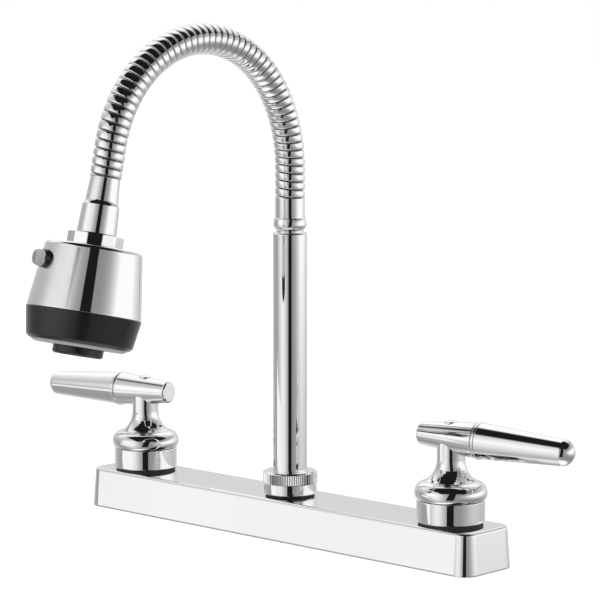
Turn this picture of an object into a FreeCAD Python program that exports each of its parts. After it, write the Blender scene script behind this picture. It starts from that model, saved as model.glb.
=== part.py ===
"""Two handle kitchen faucet with a flexible gooseneck and a two-way spray head.

The origin is the centre of the deck's underside, which sits on the sink. +X runs to the cold handle,
-Y to the person at the sink and +Z up. Lengths are millimetres and angles are degrees.
"""
import FreeCAD, Part
import math
import os
import Sketcher

SIZES = {
    # Deck
    "HandleSpacing": 203.2,
    "DeckEndReach": 24.9,
    "DeckWidth": 36.5,
    "DeckHeight": 19.75,
    "DeckDraft": 4.3,
    "DeckCorner": 8.0,
    "DeckEdge": 1.2,
    "DeckWall": 2.4,
    "DeckTopWall": 2.6,
    "BaseGasketHeight": 3.0,
    "LooseFit": 0.3,
    "CloseFit": 0.05,
    "RunningFit": 0.08,
    # Valve bodies, nuts and the tubes between them
    "InletRadius": 9.316,
    "InletDepth": 8.0,
    "ValveBodyRadius": 12.0,
    "ValveSeatWeb": 2.0,
    "SeatHoleRadius": 3.2,
    "ChamberRadius": 6.6,
    "NeckRadius": 10.0,
    "NeckAboveEscutcheon": 2.1,
    "PortDrop": 0.95,
    "PipeRadius": 3.0,
    "PipeBore": 2.2,
    "PipeInsert": 3.0,
    "LockNutAcross": 24.0,
    "LockNutHeight": 4.0,
    "CartridgeNutRadius": 12.2,
    "CartridgeNutHeight": 5.0,
    "CartridgeNutLip": 1.6,
    # Escutcheons
    "EscutcheonRadius": 16.0,
    "EscutcheonHeight": 10.15,
    "EscutcheonWall": 1.5,
    "EscutcheonEdge": 0.5,
    "SeatGasketHeight": 1.3,
    "SeatGasketInset": 0.9,
    # Cartridges
    "CartridgeRadius": 6.5,
    "CartridgeFlangeRadius": 9.5,
    "CartridgeFlangeHeight": 1.3,
    "CartridgeSpigotRadius": 5.2,
    "CartridgeSpigotHeight": 2.4,
    "DiscRadius": 5.1,
    "DiscHeight": 2.0,
    "DiscHoleRadius": 1.3,
    "DiscHolePlace": 2.9,
    "CartridgeSealHeight": 1.6,
    "CartridgeSealBore": 3.6,
    "WindowWidth": 5.0,
    "WindowHeight": 2.6,
    "StemRadius": 3.5,
    "StemFootHeight": 2.0,
    "StemSealRadius": 2.9,
    "StemSealHeight": 1.8,
    "StemSealDrop": 8.3,
    "BroachRadius": 3.9,
    "BroachPoints": 20,
    "BroachFootRise": 3.0,
    "BroachDrop": 9.3,
    "BroachLead": 2.0,
    "DriveTabWidth": 2.0,
    "DriveTabHeight": 0.9,
    # Handles
    "ColdHandleTurn": 8.9,
    "HotHandleTurn": 5.7,
    "HandleDroop": 1.5,
    "HandleGap": 0.35,
    "BellRimRadius": 16.2,
    "BeadRadius": 17.05,
    "BeadHeight": 2.55,
    "BeadLowRound": 4.25,
    "BellRound": 5.2,
    "ShoulderRadius": 13.0,
    "ShoulderHeight": 7.9,
    "RidgeFootRadius": 12.2,
    "RidgeFootHeight": 8.05,
    "RidgeTopRadius": 11.7,
    "RidgeTopHeight": 8.4,
    "RidgeRound": 0.5,
    "FlareHeight": 17.95,
    "FlareRound": 12.0,
    "HandleStemRadius": 6.7,
    "BellCavityRadius": 13.2,
    "BellCavityHeight": 5.9,
    "BarHeight": 60.1,
    "BarShortLength": 16.3,
    "BarShortRadius": 5.6,
    "BarShortEdge": 1.0,
    "BarLongLength": 14.4,
    "BarLongRadius": 8.5,
    "StudRadius": 4.0,
    "StudLength": 11.0,
    "LeverGrooveWidth": 0.6,
    "LeverGrooveDepth": 0.5,
    "LeverRingWidth": 1.9,
    "LeverRingRadius": 8.8,
    "LeverRootRadius": 8.6,
    "LeverTipRadius": 6.25,
    "LeverTipPlace": 59.2,
    "LeverDome": 4.7,
    "ScrewShankRadius": 1.5,
    "ScrewShankLength": 10.0,
    "ScrewHeadRadius": 2.8,
    "ScrewHeadHeight": 2.6,
    "ScrewSeatDrop": 7.1,
    "ScrewSlotWidth": 0.9,
    "ScrewSlotDepth": 1.1,
    "CapRadius": 3.15,
    "CapFootRise": 2.4,
    "CapTopRise": 7.65,
    "CapDome": 0.4,
    # Spout seat and tube
    "SpoutHubRadius": 12.5,
    "SpoutHubFoot": 4.0,
    "SpoutHubFloor": 2.0,
    "SpoutNeckRadius": 10.3,
    "SpoutNeckRise": 8.85,
    "SpoutNutRadius": 13.4,
    "SpoutNutSmoothRadius": 13.05,
    "SpoutNutRise": 11.95,
    "KnurlHeight": 5.5,
    "KnurlDepth": 0.45,
    "KnurlCount": 72,
    "KnurlTopDrop": 0.6,
    "SpoutGasketHeight": 0.85,
    "SpoutTubeRadius": 8.35,
    "SpoutTubeBore": 7.2,
    "SpoutTubeTop": 148.0,
    "SpoutTubeEdge": 0.6,
    "BushingRadius": 8.1,
    "BushingBore": 5.6,
    "BushingDrop": 10.8,
    "BushingSpigotLength": 8.0,
    "RetainingRingHeight": 0.8,
    "RetainingRingRadius": 10.1,
    "RetainingGrooveRadius": 7.4,
    "RetainingRingGap": 3.0,
    "SpoutSealHeight": 1.8,
    "SpoutSealRadius": 6.9,
    # Hose ferrule on the tube
    "FerrulePlugLength": 10.0,
    "FerruleNeckRadius": 6.6,
    "FerruleNeckHeight": 1.1,
    "FerruleBeadRadius": 8.1,
    "FerruleBeadHeight": 4.2,
    "FerruleBeadTop": 7.0,
    "FerruleRadius": 7.25,
    "FerruleHeight": 16.7,
    "SpigotRadius": 5.4,
    "SpigotLength": 5.5,
    "FerruleBore": 3.9,
    # Gooseneck hose
    "HoseRadius": 7.25,
    "HoseGrooveRadius": 6.5,
    "HoseShoulderDrop": 0.14,
    "HoseBore": 5.5,
    "HoseTurns": 53,
    "HoseGrooveShare": 0.16,
    "HoseStraight": 14.6,
    "RiseRadius": 65.56,
    "RiseAngle": 33.83,
    "CrownRadius": 58.2,
    "CrownAngle": 82.33,
    "FallRadius": 60.38,
    "FallAngle": 50.84,
    "LinerRadius": 5.0,
    "LinerBore": 3.7,
    # Spray head, measured up its own axis from a level just inside the nozzle's mouth
    "HeadReach": 79.5,
    "NeckSleeveRadius": 6.75,
    "NeckSleeveFootRadius": 7.5,
    "NeckSleeveFoot": 69.2,
    "NeckSleeveFlare": 3.6,
    "NeckBellTop": 66.9,
    "NeckBellTopRadius": 8.45,
    "NeckBellFoot": 54.0,
    "NeckBellFootRadius": 9.1,
    "NeckShaftRadius": 7.4,
    "NeckFlangeRadius": 8.8,
    "NeckFlangeTop": 46.3,
    "NeckFlangeHeight": 1.9,
    "HeadNutAcross": 25.2,
    "HeadNutSides": 12,
    "HeadNutTop": 53.7,
    "HeadNutFoot": 48.5,
    "HeadNutCrown": 12.3,
    "HeadNutCrownDrop": 1.5,
    "HeadNutLedgeRadius": 12.4,
    "HeadNutSkirtRadius": 11.0,
    "HeadNutSkirtFoot": 42.9,
    "SwivelWasherHeight": 1.4,
    "ShellTop": 48.2,
    "ShellTopRadius": 22.2,
    "ShellTopRound": 2.2,
    "ShellFoot": 18.0,
    "ShellFootRadius": 26.05,
    "ShellWall": 1.8,
    "BandFoot": 4.2,
    "BandTopRadius": 26.15,
    "BandFootRadius": 24.1,
    "BandBevel": 1.3,
    "BandBore": 22.0,
    "BandLipHeight": 3.6,
    "BandLipGap": 0.3,
    "BandLipLean": 0.55,
    "BandLipWall": 1.4,
    "PlateRadius": 21.7,
    "PlateFoot": 2.8,
    "PlateShoulder": 8.3,
    "PlateTop": 9.5,
    "PlateFlangeRadius": 22.4,
    "PlateBevel": 0.9,
    "PlateHoleRadius": 0.75,
    "PlateHoleCount": 16,
    "PlateHoleRing": 17.2,
    "NozzleRadius": 11.5,
    "NozzleDrop": 1.1,
    "NozzleFlangeRadius": 12.4,
    "NozzleFlangeHeight": 1.0,
    "NozzleBore": 9.1,
    "NozzleBevel": 0.8,
    "AeratorRadius": 9.0,
    "AeratorFoot": 1.8,
    "AeratorTop": 8.5,
    "AeratorSlotWidth": 1.3,
    "AeratorSlotLength": 13.0,
    "AeratorSlotCount": 5,
    "CoreRadius": 17.0,
    "CoreFoot": 10.8,
    "CoreTop": 45.3,
    "CoreBore": 6.0,
    "CoreNeckBore": 4.2,
    "CoreStep": 30.0,
    "CoreSprayInner": 9.0,
    "CoreSprayOuter": 15.2,
    "CoreSprayTop": 24.0,
    # Diverter, which slides across the head; its reach is measured from the head's axis
    "DiverterLevel": 39.2,
    "DiverterClock": 15.0,
    "ButtonRadius": 4.15,
    "ButtonFace": 29.4,
    "ButtonRoot": 21.3,
    "ButtonBevel": 0.7,
    "ButtonChannelWidth": 1.4,
    "ButtonChannelDepth": 1.1,
    "SpoolRadius": 2.6,
    "SpoolWaistRadius": 1.6,
    "SpoolWaistReach": 4.5,
    "SpoolSealRoot": 2.0,
    "SpoolSealPlace": 8.0,
    "SpoolSealWidth": 1.5,
    "SpoolEndRadius": 1.6,
    "SpoolEndLength": 3.2,
    "PlugRoot": 17.2,
    "PlugFace": 24.0,
}

doc = FreeCAD.newDocument("Faucet")
sheet = doc.addObject("Spreadsheet::Sheet", "Sizes")
for row, (alias, number) in enumerate(SIZES.items(), 1):
    sheet.set(f"A{row}", alias)
    sheet.set(f"B{row}", str(number))
    sheet.setAlias(f"B{row}", alias)
doc.recompute()

ORIGIN = FreeCAD.Vector(0, 0, 0)
X_AXIS = FreeCAD.Vector(1, 0, 0)
Z_AXIS = FreeCAD.Vector(0, 0, 1)


class Dim:
    """A size that carries the sheet expression it came from."""

    def __init__(self, value, text):
        self.value = float(value)
        self.text = text

    def __add__(self, other):
        other = as_dim(other)
        return Dim(self.value + other.value, f"({self.text} + {other.text})")

    def __sub__(self, other):
        other = as_dim(other)
        return Dim(self.value - other.value, f"({self.text} - {other.text})")

    def __mul__(self, other):
        other = as_dim(other)
        return Dim(self.value * other.value, f"({self.text} * {other.text})")

    def __truediv__(self, other):
        other = as_dim(other)
        return Dim(self.value / other.value, f"({self.text} / {other.text})")

    def __neg__(self):
        return Dim(-self.value, f"(0 - {self.text})")


def as_dim(number):
    """A plain number as a Dim; a Dim stays as it is."""
    if isinstance(number, Dim):
        return number
    return Dim(number, repr(float(number)))


def size(alias):
    """The sheet's cell of that name."""
    return Dim(sheet.get(alias), f"Sizes.{alias}")


def cosine(angle):
    return Dim(math.cos(math.radians(angle.value)), f"cos({angle.text} * 1 deg)")


def sine(angle):
    return Dim(math.sin(math.radians(angle.value)), f"sin({angle.text} * 1 deg)")


def bind(thing, path, dim):
    """Ties a property to the sheet."""
    thing.setExpression(path, dim.text)


# ---------------------------------------------------------------------------------------------
# Sketches and features


def new_body(label):
    body = doc.addObject("PartDesign::Body", label)
    body.Label = label
    return body


def plane_of(body, role):
    """The body's own origin plane with that role."""
    return [feature for feature in body.Origin.OriginFeatures if feature.Role == role][0]


def new_sketch(body, name, role, offset=None, turn=None, shift=None):
    """A sketch on an origin plane: offset along its normal, shifted up its own Y, then turned."""
    sketch = body.newObject("Sketcher::SketchObject", f"{body.Name}_{name}")
    sketch.AttachmentSupport = [(plane_of(body, role), "")]
    sketch.MapMode = "FlatFace"
    if turn is not None:
        rotation = FreeCAD.Rotation(Z_AXIS, turn.value)
        sketch.AttachmentOffset = FreeCAD.Placement(ORIGIN, rotation)
        bind(sketch, "AttachmentOffset.Rotation.Angle", turn)
    if offset is not None:
        bind(sketch, "AttachmentOffset.Base.z", offset)
    if shift is not None:
        bind(sketch, "AttachmentOffset.Base.y", shift)
    return sketch


def hold_number(sketch, kind, places, dim):
    """One driving constraint, tied to the sheet."""
    index = sketch.addConstraint(Sketcher.Constraint(kind, *places, dim.value))
    bind(sketch, f"Constraints[{index}]", dim)


def hold_point(sketch, edge, point, x, y):
    """Puts a vertex at x, y from the sketch's origin; a zero lies on the axis itself."""
    for kind, axis, dim in (("DistanceX", -2, x), ("DistanceY", -1, y)):
        if abs(dim.value) < 1e-9:
            sketch.addConstraint(Sketcher.Constraint("PointOnObject", edge, point, axis))
        else:
            hold_number(sketch, kind, (-1, 1, edge, point), dim)


def arc_between(start, end, radius):
    """The short arc from start to end; a plus radius turns left and a minus radius turns right."""
    chord = end - start
    half = chord.Length / 2
    rise = math.sqrt(max(radius * radius - half * half, 0.0))
    left = FreeCAD.Vector(-chord.y, chord.x, 0).normalize()
    centre = (start + end) / 2 + left * math.copysign(rise, radius)
    first, last = (start, end) if radius > 0 else (end, start)
    angles = [math.atan2(p.y - centre.y, p.x - centre.x) for p in (first, last)]
    return Part.ArcOfCircle(Part.Circle(centre, Z_AXIS, abs(radius)), angles[0], angles[1])


def draw_outline(sketch, corners):
    """A closed outline. A corner is x, y and, where the edge that reaches it is round, its radius."""
    corners = [tuple(as_dim(number) for number in corner) for corner in corners]
    points = [FreeCAD.Vector(corner[0].value, corner[1].value, 0) for corner in corners]
    ends = []
    for index, start in enumerate(points):
        following = (index + 1) % len(points)
        if len(corners[following]) == 2:
            edge = sketch.addGeometry(Part.LineSegment(start, points[following]))
            ends.append((edge, 1, 2))
            continue
        radius = corners[following][2]
        edge = sketch.addGeometry(arc_between(start, points[following], radius.value))
        ends.append((edge, 1, 2) if radius.value > 0 else (edge, 2, 1))
        hold_number(sketch, "Radius", (edge,), radius if radius.value > 0 else -radius)
    for index, (edge, first, last) in enumerate(ends):
        following = ends[(index + 1) % len(ends)]
        sketch.addConstraint(Sketcher.Constraint("Coincident", edge, last, following[0], following[1]))
        hold_point(sketch, edge, first, corners[index][0], corners[index][1])


def draw_circle(sketch, radius, x=0, y=0):
    x, y = as_dim(x), as_dim(y)
    centre = FreeCAD.Vector(x.value, y.value, 0)
    edge = sketch.addGeometry(Part.Circle(centre, Z_AXIS, radius.value))
    hold_number(sketch, "Radius", (edge,), radius)
    hold_point(sketch, edge, 3, x, y)


def draw_rectangle(sketch, width, height, x=0, y=0):
    """A rectangle about the point x, y."""
    x, y = as_dim(x), as_dim(y)
    half_width, half_height = width / 2, height / 2
    draw_outline(sketch, [
        (x - half_width, y - half_height),
        (x + half_width, y - half_height),
        (x + half_width, y + half_height),
        (x - half_width, y + half_height),
    ])


def draw_rounded_rectangle(sketch, length, width, corner):
    half_length, half_width = length / 2, width / 2
    flat_x, flat_y = half_length - corner, half_width - corner
    draw_outline(sketch, [
        (-half_length, -flat_y),
        (-flat_x, -half_width, corner),
        (flat_x, -half_width),
        (half_length, -flat_y, corner),
        (half_length, flat_y),
        (flat_x, half_width, corner),
        (-flat_x, half_width),
        (-half_length, flat_y, corner),
    ])


def draw_polygon(sketch, radius, count):
    """A regular outline with its corners on a circle of that radius, the first on +X."""
    corners = []
    for number in range(int(count.value)):
        angle = Dim(360.0 * number / count.value, f"(360 * {number} / {count.text})")
        corners.append((radius * cosine(angle), radius * sine(angle)))
    draw_outline(sketch, corners)


def revolve(body, name, corners, cut=False, turn=None, shift=None):
    """A turned form: the corners are radius and height in the body's XZ plane."""
    sketch = new_sketch(body, f"{name}_outline", "XZ_Plane", turn=turn, shift=shift)
    draw_outline(sketch, corners)
    kind = "PartDesign::Groove" if cut else "PartDesign::Revolution"
    feature = body.newObject(kind, f"{body.Name}_{name}")
    feature.Profile = sketch
    feature.ReferenceAxis = (sketch, ["V_Axis"])
    feature.Angle = 360.0
    return feature


def revolve_along(body, name, corners, turn, shift):
    """A turned form about the sketch's own X axis, for a bar that lies on its side."""
    sketch = new_sketch(body, f"{name}_outline", "XZ_Plane", turn=turn, shift=shift)
    draw_outline(sketch, corners)
    feature = body.newObject("PartDesign::Revolution", f"{body.Name}_{name}")
    feature.Profile = sketch
    feature.ReferenceAxis = (sketch, ["H_Axis"])
    feature.Angle = 360.0
    return feature


def pad(body, sketch, name, length, backward=False):
    feature = body.newObject("PartDesign::Pad", f"{body.Name}_{name}")
    feature.Profile = sketch
    feature.Reversed = backward
    bind(feature, "Length", length)
    return feature


def pocket(body, sketch, name, length=None, backward=False):
    """A cut along the sketch's normal reversed, or along it where backward; no length cuts all."""
    feature = body.newObject("PartDesign::Pocket", f"{body.Name}_{name}")
    feature.Profile = sketch
    feature.Reversed = backward
    if length is None:
        feature.Type = "ThroughAll"
    else:
        bind(feature, "Length", length)
    return feature


def polar_pattern(body, feature, sketch, count):
    """Copies of a feature about the sketch's normal through its origin."""
    pattern = body.newObject("PartDesign::PolarPattern", f"{feature.Name}_pattern")
    pattern.Originals = [feature]
    pattern.Axis = (sketch, ["N_Axis"])
    pattern.Angle = 360.0
    bind(pattern, "Occurrences", count)
    body.Tip = pattern
    return pattern


def turned(label, corners):
    """A body that is one turned form."""
    body = new_body(label)
    revolve(body, "turning", corners)
    return body


def dome_radius(radius, rise):
    """The sphere that meets its own axis squarely: a dome of that radius and rise."""
    return (radius * radius + rise * rise) / (rise * 2)


def ring_outline(inner, outer, low, high):
    return [(inner, low), (outer, low), (outer, high), (inner, high)]


def ring(label, inner, outer, low, high):
    return turned(label, ring_outline(inner, outer, low, high))


def move(body, x=None, turn=None):
    """Stands a body at x on the deck, turned about its own upright axis."""
    if turn is not None:
        body.Placement = FreeCAD.Placement(ORIGIN, FreeCAD.Rotation(Z_AXIS, turn.value))
        bind(body, "Placement.Rotation.Angle", turn)
    if x is not None:
        bind(body, "Placement.Base.x", x)
    return body


# ---------------------------------------------------------------------------------------------
# Deck


def shoulder_height():
    """Where the brass bodies press up against the deck's top wall."""
    return size("DeckHeight") - size("DeckTopWall")


def deck_length():
    """Both handles and an end's reach past each."""
    return size("HandleSpacing") + size("DeckEndReach") * 2


def port_height():
    """The axis of the waterways, close under the deck's top wall."""
    return shoulder_height() - size("PipeRadius") - size("PortDrop")


def deck_cover():
    """Cast shell, drafted on all sides, with a bevelled top edge and three necks' holes."""
    body = new_body("deck_cover")
    outside = new_sketch(body, "footprint", "XY_Plane")
    draw_rounded_rectangle(outside, deck_length(), size("DeckWidth"), size("DeckCorner"))
    block = pad(body, outside, "block", size("DeckHeight"))
    bind(block, "TaperAngle", -size("DeckDraft"))
    doc.recompute()
    top = size("DeckHeight").value
    rim = [
        f"Edge{number}"
        for number, edge in enumerate(block.Shape.Edges, 1)
        if abs(edge.BoundBox.ZMin - top) < 1e-6
    ]
    bevel = body.newObject("PartDesign::Chamfer", "deck_cover_bevel")
    bevel.Base = (block, rim)
    bind(bevel, "Size", size("DeckEdge"))
    inside = new_sketch(body, "cavity_footprint", "XY_Plane")
    wall = size("DeckWall") * 2
    corner = size("DeckCorner") - size("DeckWall")
    draw_rounded_rectangle(inside, deck_length() - wall, size("DeckWidth") - wall, corner)
    cavity = pocket(body, inside, "cavity", shoulder_height(), backward=True)
    bind(cavity, "TaperAngle", -size("DeckDraft"))
    holes = new_sketch(body, "neck_holes", "XY_Plane")
    neck = size("NeckRadius") + size("LooseFit")
    draw_circle(holes, neck, -size("HandleSpacing") / 2)
    draw_circle(holes, neck, size("HandleSpacing") / 2)
    draw_circle(holes, size("SpoutNeckRadius") + size("LooseFit"))
    pocket(body, holes, "necks", backward=True)
    return body


def base_gasket():
    """Rubber plate in the deck's mouth, flush with its rim, round the three brass bodies."""
    body = new_body("base_gasket")
    gap = (size("DeckWall") + size("LooseFit")) * 2
    lean = size("BaseGasketHeight") * 0.2
    outside = new_sketch(body, "outline", "XY_Plane")
    corner = size("DeckCorner") - size("DeckWall") - size("LooseFit")
    length = deck_length() - gap - lean
    draw_rounded_rectangle(outside, length, size("DeckWidth") - gap - lean, corner)
    pad(body, outside, "plate", size("BaseGasketHeight"))
    holes = new_sketch(body, "holes", "XY_Plane")
    around = size("ValveBodyRadius") + size("LooseFit")
    draw_circle(holes, around, -size("HandleSpacing") / 2)
    draw_circle(holes, around, size("HandleSpacing") / 2)
    pocket(body, holes, "inlets", backward=True)
    return body


# ---------------------------------------------------------------------------------------------
# Valves: one set per side, built on its own upright axis, then moved to its handle's place


def chamber_floor():
    return size("InletDepth") + size("ValveSeatWeb")


def disc_floor():
    """The underside of the fixed ceramic disc, on top of the cartridge's seal."""
    return chamber_floor() + size("CartridgeSealHeight")


def disc_top():
    return disc_floor() + size("DiscHeight") * 2 + size("CloseFit")


def foot_top():
    """The top of the stem's foot, which turns the upper disc."""
    return disc_top() + size("StemFootHeight")


def neck_height():
    """The top of a valve body's neck, which passes through the escutcheon."""
    return escutcheon_top() + size("NeckAboveEscutcheon")


def flange_top():
    return neck_height() + size("CartridgeFlangeHeight")


def spigot_top():
    return flange_top() + size("CartridgeSpigotHeight")


def seal_level():
    """The underside of the groove for the stem's seal."""
    return neck_height() - size("StemSealDrop")


def broach_foot():
    """Where the stem turns into the head that the handle grips."""
    return spigot_top() + size("BroachFootRise")


def broach_top():
    return size("BarHeight") - size("BroachDrop")


def screw_seat():
    """The ledge in the handle under its screw's head."""
    return size("BarHeight") - size("ScrewSeatDrop")


def escutcheon_floor():
    return size("DeckHeight") + size("SeatGasketHeight")


def escutcheon_top():
    return escutcheon_floor() + size("EscutcheonHeight")


def valve_body(label, towards_spout):
    """Brass body: threaded inlet below, seat, cartridge chamber and a side port to the spout."""
    shoulder = shoulder_height()
    neck = size("NeckRadius")
    body = turned(label, [
        (size("InletRadius"), 0),
        (size("ValveBodyRadius"), 0),
        (size("ValveBodyRadius"), shoulder),
        (neck, shoulder),
        (neck, neck_height()),
        (size("ChamberRadius"), neck_height()),
        (size("ChamberRadius"), chamber_floor()),
        (size("SeatHoleRadius"), chamber_floor()),
        (size("SeatHoleRadius"), size("InletDepth")),
        (size("InletRadius"), size("InletDepth")),
    ])
    port = new_sketch(body, "port_outline", "YZ_Plane")
    draw_circle(port, size("PipeRadius") + size("CloseFit"), 0, port_height())
    pocket(body, port, "port", backward=towards_spout > 0)
    return body


def lock_nut(label):
    """Hexagon nut that clamps the deck cover to the valve body."""
    body = new_body(label)
    low = size("DeckHeight")
    outside = new_sketch(body, "hexagon", "XY_Plane", offset=low)
    corner = size("LockNutAcross") / (cosine(as_dim(30)) * 2)
    draw_polygon(outside, corner, as_dim(6))
    draw_circle(outside, size("NeckRadius") + size("CloseFit"))
    pad(body, outside, "nut", size("LockNutHeight"))
    return body


def seat_gasket(label):
    outer = size("EscutcheonRadius") - size("SeatGasketInset")
    inner = size("LockNutAcross") / (cosine(as_dim(30)) * 2) + size("CloseFit") * 3
    return ring(label, inner, outer, size("DeckHeight"), escutcheon_floor())


def escutcheon(label):
    """Chrome cup over the lock nut, closed by a top wall round the valve's neck."""
    radius = size("EscutcheonRadius")
    edge = size("EscutcheonEdge")
    inner = radius - size("EscutcheonWall")
    top = escutcheon_top()
    ceiling = top - size("EscutcheonWall")
    hole = size("NeckRadius") + size("LooseFit") / 2
    return turned(label, [
        (inner, escutcheon_floor()),
        (radius, escutcheon_floor()),
        (radius, top - edge),
        (radius - edge, top),
        (hole, top),
        (hole, ceiling),
        (inner, ceiling),
    ])


def cartridge_nut(label):
    """Round nut on the neck: it holds the escutcheon down and the cartridge in."""
    low = escutcheon_top()
    high = low + size("CartridgeNutHeight")
    lip = high - size("CartridgeNutLip")
    bore = size("NeckRadius") + size("CloseFit")
    return turned(label, [
        (bore, low),
        (size("CartridgeNutRadius"), low),
        (size("CartridgeNutRadius"), high - size("EscutcheonEdge")),
        (size("CartridgeNutRadius") - size("EscutcheonEdge"), high),
        (size("CartridgeSpigotRadius") + size("RunningFit"), high),
        (size("CartridgeSpigotRadius") + size("RunningFit"), lip),
        (bore, lip),
    ])


def cartridge(label):
    """Brass cartridge body, open below for its discs, with two windows for the water."""
    chamber = size("DiscRadius") + size("RunningFit")
    ceiling = foot_top() + size("CloseFit") * 2
    bore = size("StemRadius") + size("RunningFit")
    low = chamber_floor() + size("LooseFit")
    neck = neck_height()
    top = spigot_top()
    body = turned(label, [
        (chamber, low),
        (size("CartridgeRadius"), low),
        (size("CartridgeRadius"), neck),
        (size("CartridgeFlangeRadius"), neck),
        (size("CartridgeFlangeRadius"), flange_top()),
        (size("CartridgeSpigotRadius"), flange_top()),
        (size("CartridgeSpigotRadius"), top),
        (bore, top),
        (bore, ceiling),
        (chamber, ceiling),
    ])
    window = new_sketch(body, "window_outline", "YZ_Plane", offset=-size("CartridgeRadius") * 1.5)
    level = disc_top() - size("DiscHeight") + size("WindowHeight") / 2
    draw_rectangle(window, size("WindowWidth"), size("WindowHeight"), 0, level)
    pocket(body, window, "windows", size("CartridgeRadius") * 3, backward=True)
    return body


def ceramic_disc(label, low, slotted):
    """Ceramic disc with two round water ways; the upper one has a slot for the stem's tab."""
    body = ring(label, as_dim(0), size("DiscRadius"), low, low + size("DiscHeight"))
    holes = new_sketch(body, "ways", "XY_Plane", offset=low)
    draw_circle(holes, size("DiscHoleRadius"), 0, size("DiscHolePlace"))
    draw_circle(holes, size("DiscHoleRadius"), 0, -size("DiscHolePlace"))
    pocket(body, holes, "water_ways", backward=True)
    if slotted:
        slot = new_sketch(body, "slot_outline", "XY_Plane", offset=low + size("DiscHeight"))
        width = size("DriveTabWidth") + size("CloseFit") * 2
        draw_rectangle(slot, size("DiscRadius") * 2, width)
        pocket(body, slot, "slot", size("DriveTabHeight") + size("CloseFit"))
    return body


def stem(label):
    """Brass stem: a foot with a drive tab, a seal groove and a many-sided head with a tapped hole."""
    radius = size("StemRadius")
    groove = size("StemSealRadius")
    seal_low = seal_level()
    seal_high = seal_low + size("StemSealHeight")
    body = turned(label, [
        (0, disc_top()),
        (size("DiscRadius"), disc_top()),
        (size("DiscRadius"), foot_top()),
        (radius, foot_top()),
        (radius, seal_low),
        (groove, seal_low),
        (groove, seal_high),
        (radius, seal_high),
        (radius, broach_foot()),
        (0, broach_foot()),
    ])
    head = new_sketch(body, "broach_outline", "XY_Plane", offset=broach_foot())
    draw_polygon(head, size("BroachRadius"), size("BroachPoints"))
    pad(body, head, "broach", broach_top() - broach_foot())
    tab = new_sketch(body, "tab_outline", "XY_Plane", offset=disc_top())
    draw_rectangle(tab, size("DiscRadius") * 1.6, size("DriveTabWidth"))
    pad(body, tab, "tab", size("DriveTabHeight"), backward=True)
    tapped = new_sketch(body, "tapped_outline", "XY_Plane", offset=broach_top())
    draw_circle(tapped, size("ScrewShankRadius") + size("CloseFit"))
    pocket(body, tapped, "tapped", size("ScrewShankLength"))
    return body


def stem_seal(label):
    low = seal_level() + size("CloseFit")
    high = low + size("StemSealHeight") - size("CloseFit") * 2
    return ring(label, size("StemSealRadius"), size("StemRadius") + size("CloseFit"), low, high)


# ---------------------------------------------------------------------------------------------
# Handles: the lever points along the body's own +X


def handle(label):
    """One casting: a beaded bell that flares into a stem and carries a tapered cross bar."""
    rim = escutcheon_top() + size("HandleGap")
    cavity_top = rim + size("BellCavityHeight")
    broach = size("BroachRadius") + size("CloseFit")
    broach_ceiling = broach_top() + size("CloseFit") * 4
    body = turned(label, [
        (size("BellCavityRadius"), rim),
        (size("BellRimRadius"), rim),
        (size("BeadRadius"), rim + size("BeadHeight"), size("BeadLowRound")),
        (size("ShoulderRadius"), rim + size("ShoulderHeight"), size("BellRound")),
        (size("RidgeFootRadius"), rim + size("RidgeFootHeight")),
        (size("RidgeTopRadius"), rim + size("RidgeTopHeight"), size("RidgeRound")),
        (size("HandleStemRadius"), rim + size("FlareHeight"), -size("FlareRound")),
        (size("HandleStemRadius"), size("BarHeight")),
        (0, size("BarHeight")),
        (0, broach_ceiling),
        (broach, broach_ceiling),
        (broach, cavity_top + size("BroachLead")),
        (size("CartridgeSpigotRadius") + size("RunningFit"), cavity_top),
        (size("BellCavityRadius"), cavity_top),
    ])
    edge = size("BarShortEdge")
    stud_end = size("BarLongLength") + size("StudLength")
    revolve_along(body, "bar", [
        (-size("BarShortLength"), 0),
        (stud_end, 0),
        (stud_end, size("StudRadius")),
        (size("BarLongLength"), size("StudRadius")),
        (size("BarLongLength"), size("BarLongRadius")),
        (edge - size("BarShortLength"), size("BarShortRadius") + 0.1),
        (-size("BarShortLength"), size("BarShortRadius") - edge, edge + 0.05),
    ], -size("HandleDroop"), size("BarHeight"))
    seat = new_sketch(body, "screw_seat", "XY_Plane", offset=screw_seat())
    draw_circle(seat, size("CapRadius") + size("CloseFit") * 2)
    pocket(body, seat, "cap_well", backward=True)
    hole = new_sketch(body, "screw_hole", "XY_Plane", offset=screw_seat() + 1)
    draw_circle(hole, size("ScrewShankRadius") + size("LooseFit"))
    pocket(body, hole, "screw_way", screw_seat() - cavity_top)
    return body


def lever_collar(label):
    """Ring between the bar and the lever, with a fine groove at its root."""
    low = size("BarLongLength")
    lip = low + size("LeverGrooveWidth")
    high = low + size("LeverRingWidth")
    bore = size("StudRadius") + size("CloseFit")
    groove = size("BarLongRadius") - size("LeverGrooveDepth")
    body = new_body(label)
    revolve_along(body, "ring", [
        (low, bore),
        (high, bore),
        (high, size("LeverRingRadius")),
        (lip, size("LeverRingRadius")),
        (lip, groove),
        (low, groove),
    ], -size("HandleDroop"), size("BarHeight"))
    return body


def lever(label):
    """Tapered lever with a domed tip, screwed on the bar's stud."""
    low = size("BarLongLength") + size("LeverRingWidth")
    tip = size("LeverTipPlace")
    bottom = size("BarLongLength") + size("StudLength") + size("LooseFit")
    bore = size("StudRadius") + size("CloseFit")
    dome = dome_radius(size("LeverTipRadius"), size("LeverDome"))
    body = new_body(label)
    revolve_along(body, "grip", [
        (bottom, 0),
        (tip + size("LeverDome"), 0),
        (tip, size("LeverTipRadius"), dome),
        (low, size("LeverRootRadius")),
        (low, bore),
        (bottom, bore),
    ], -size("HandleDroop"), size("BarHeight"))
    return body


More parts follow.
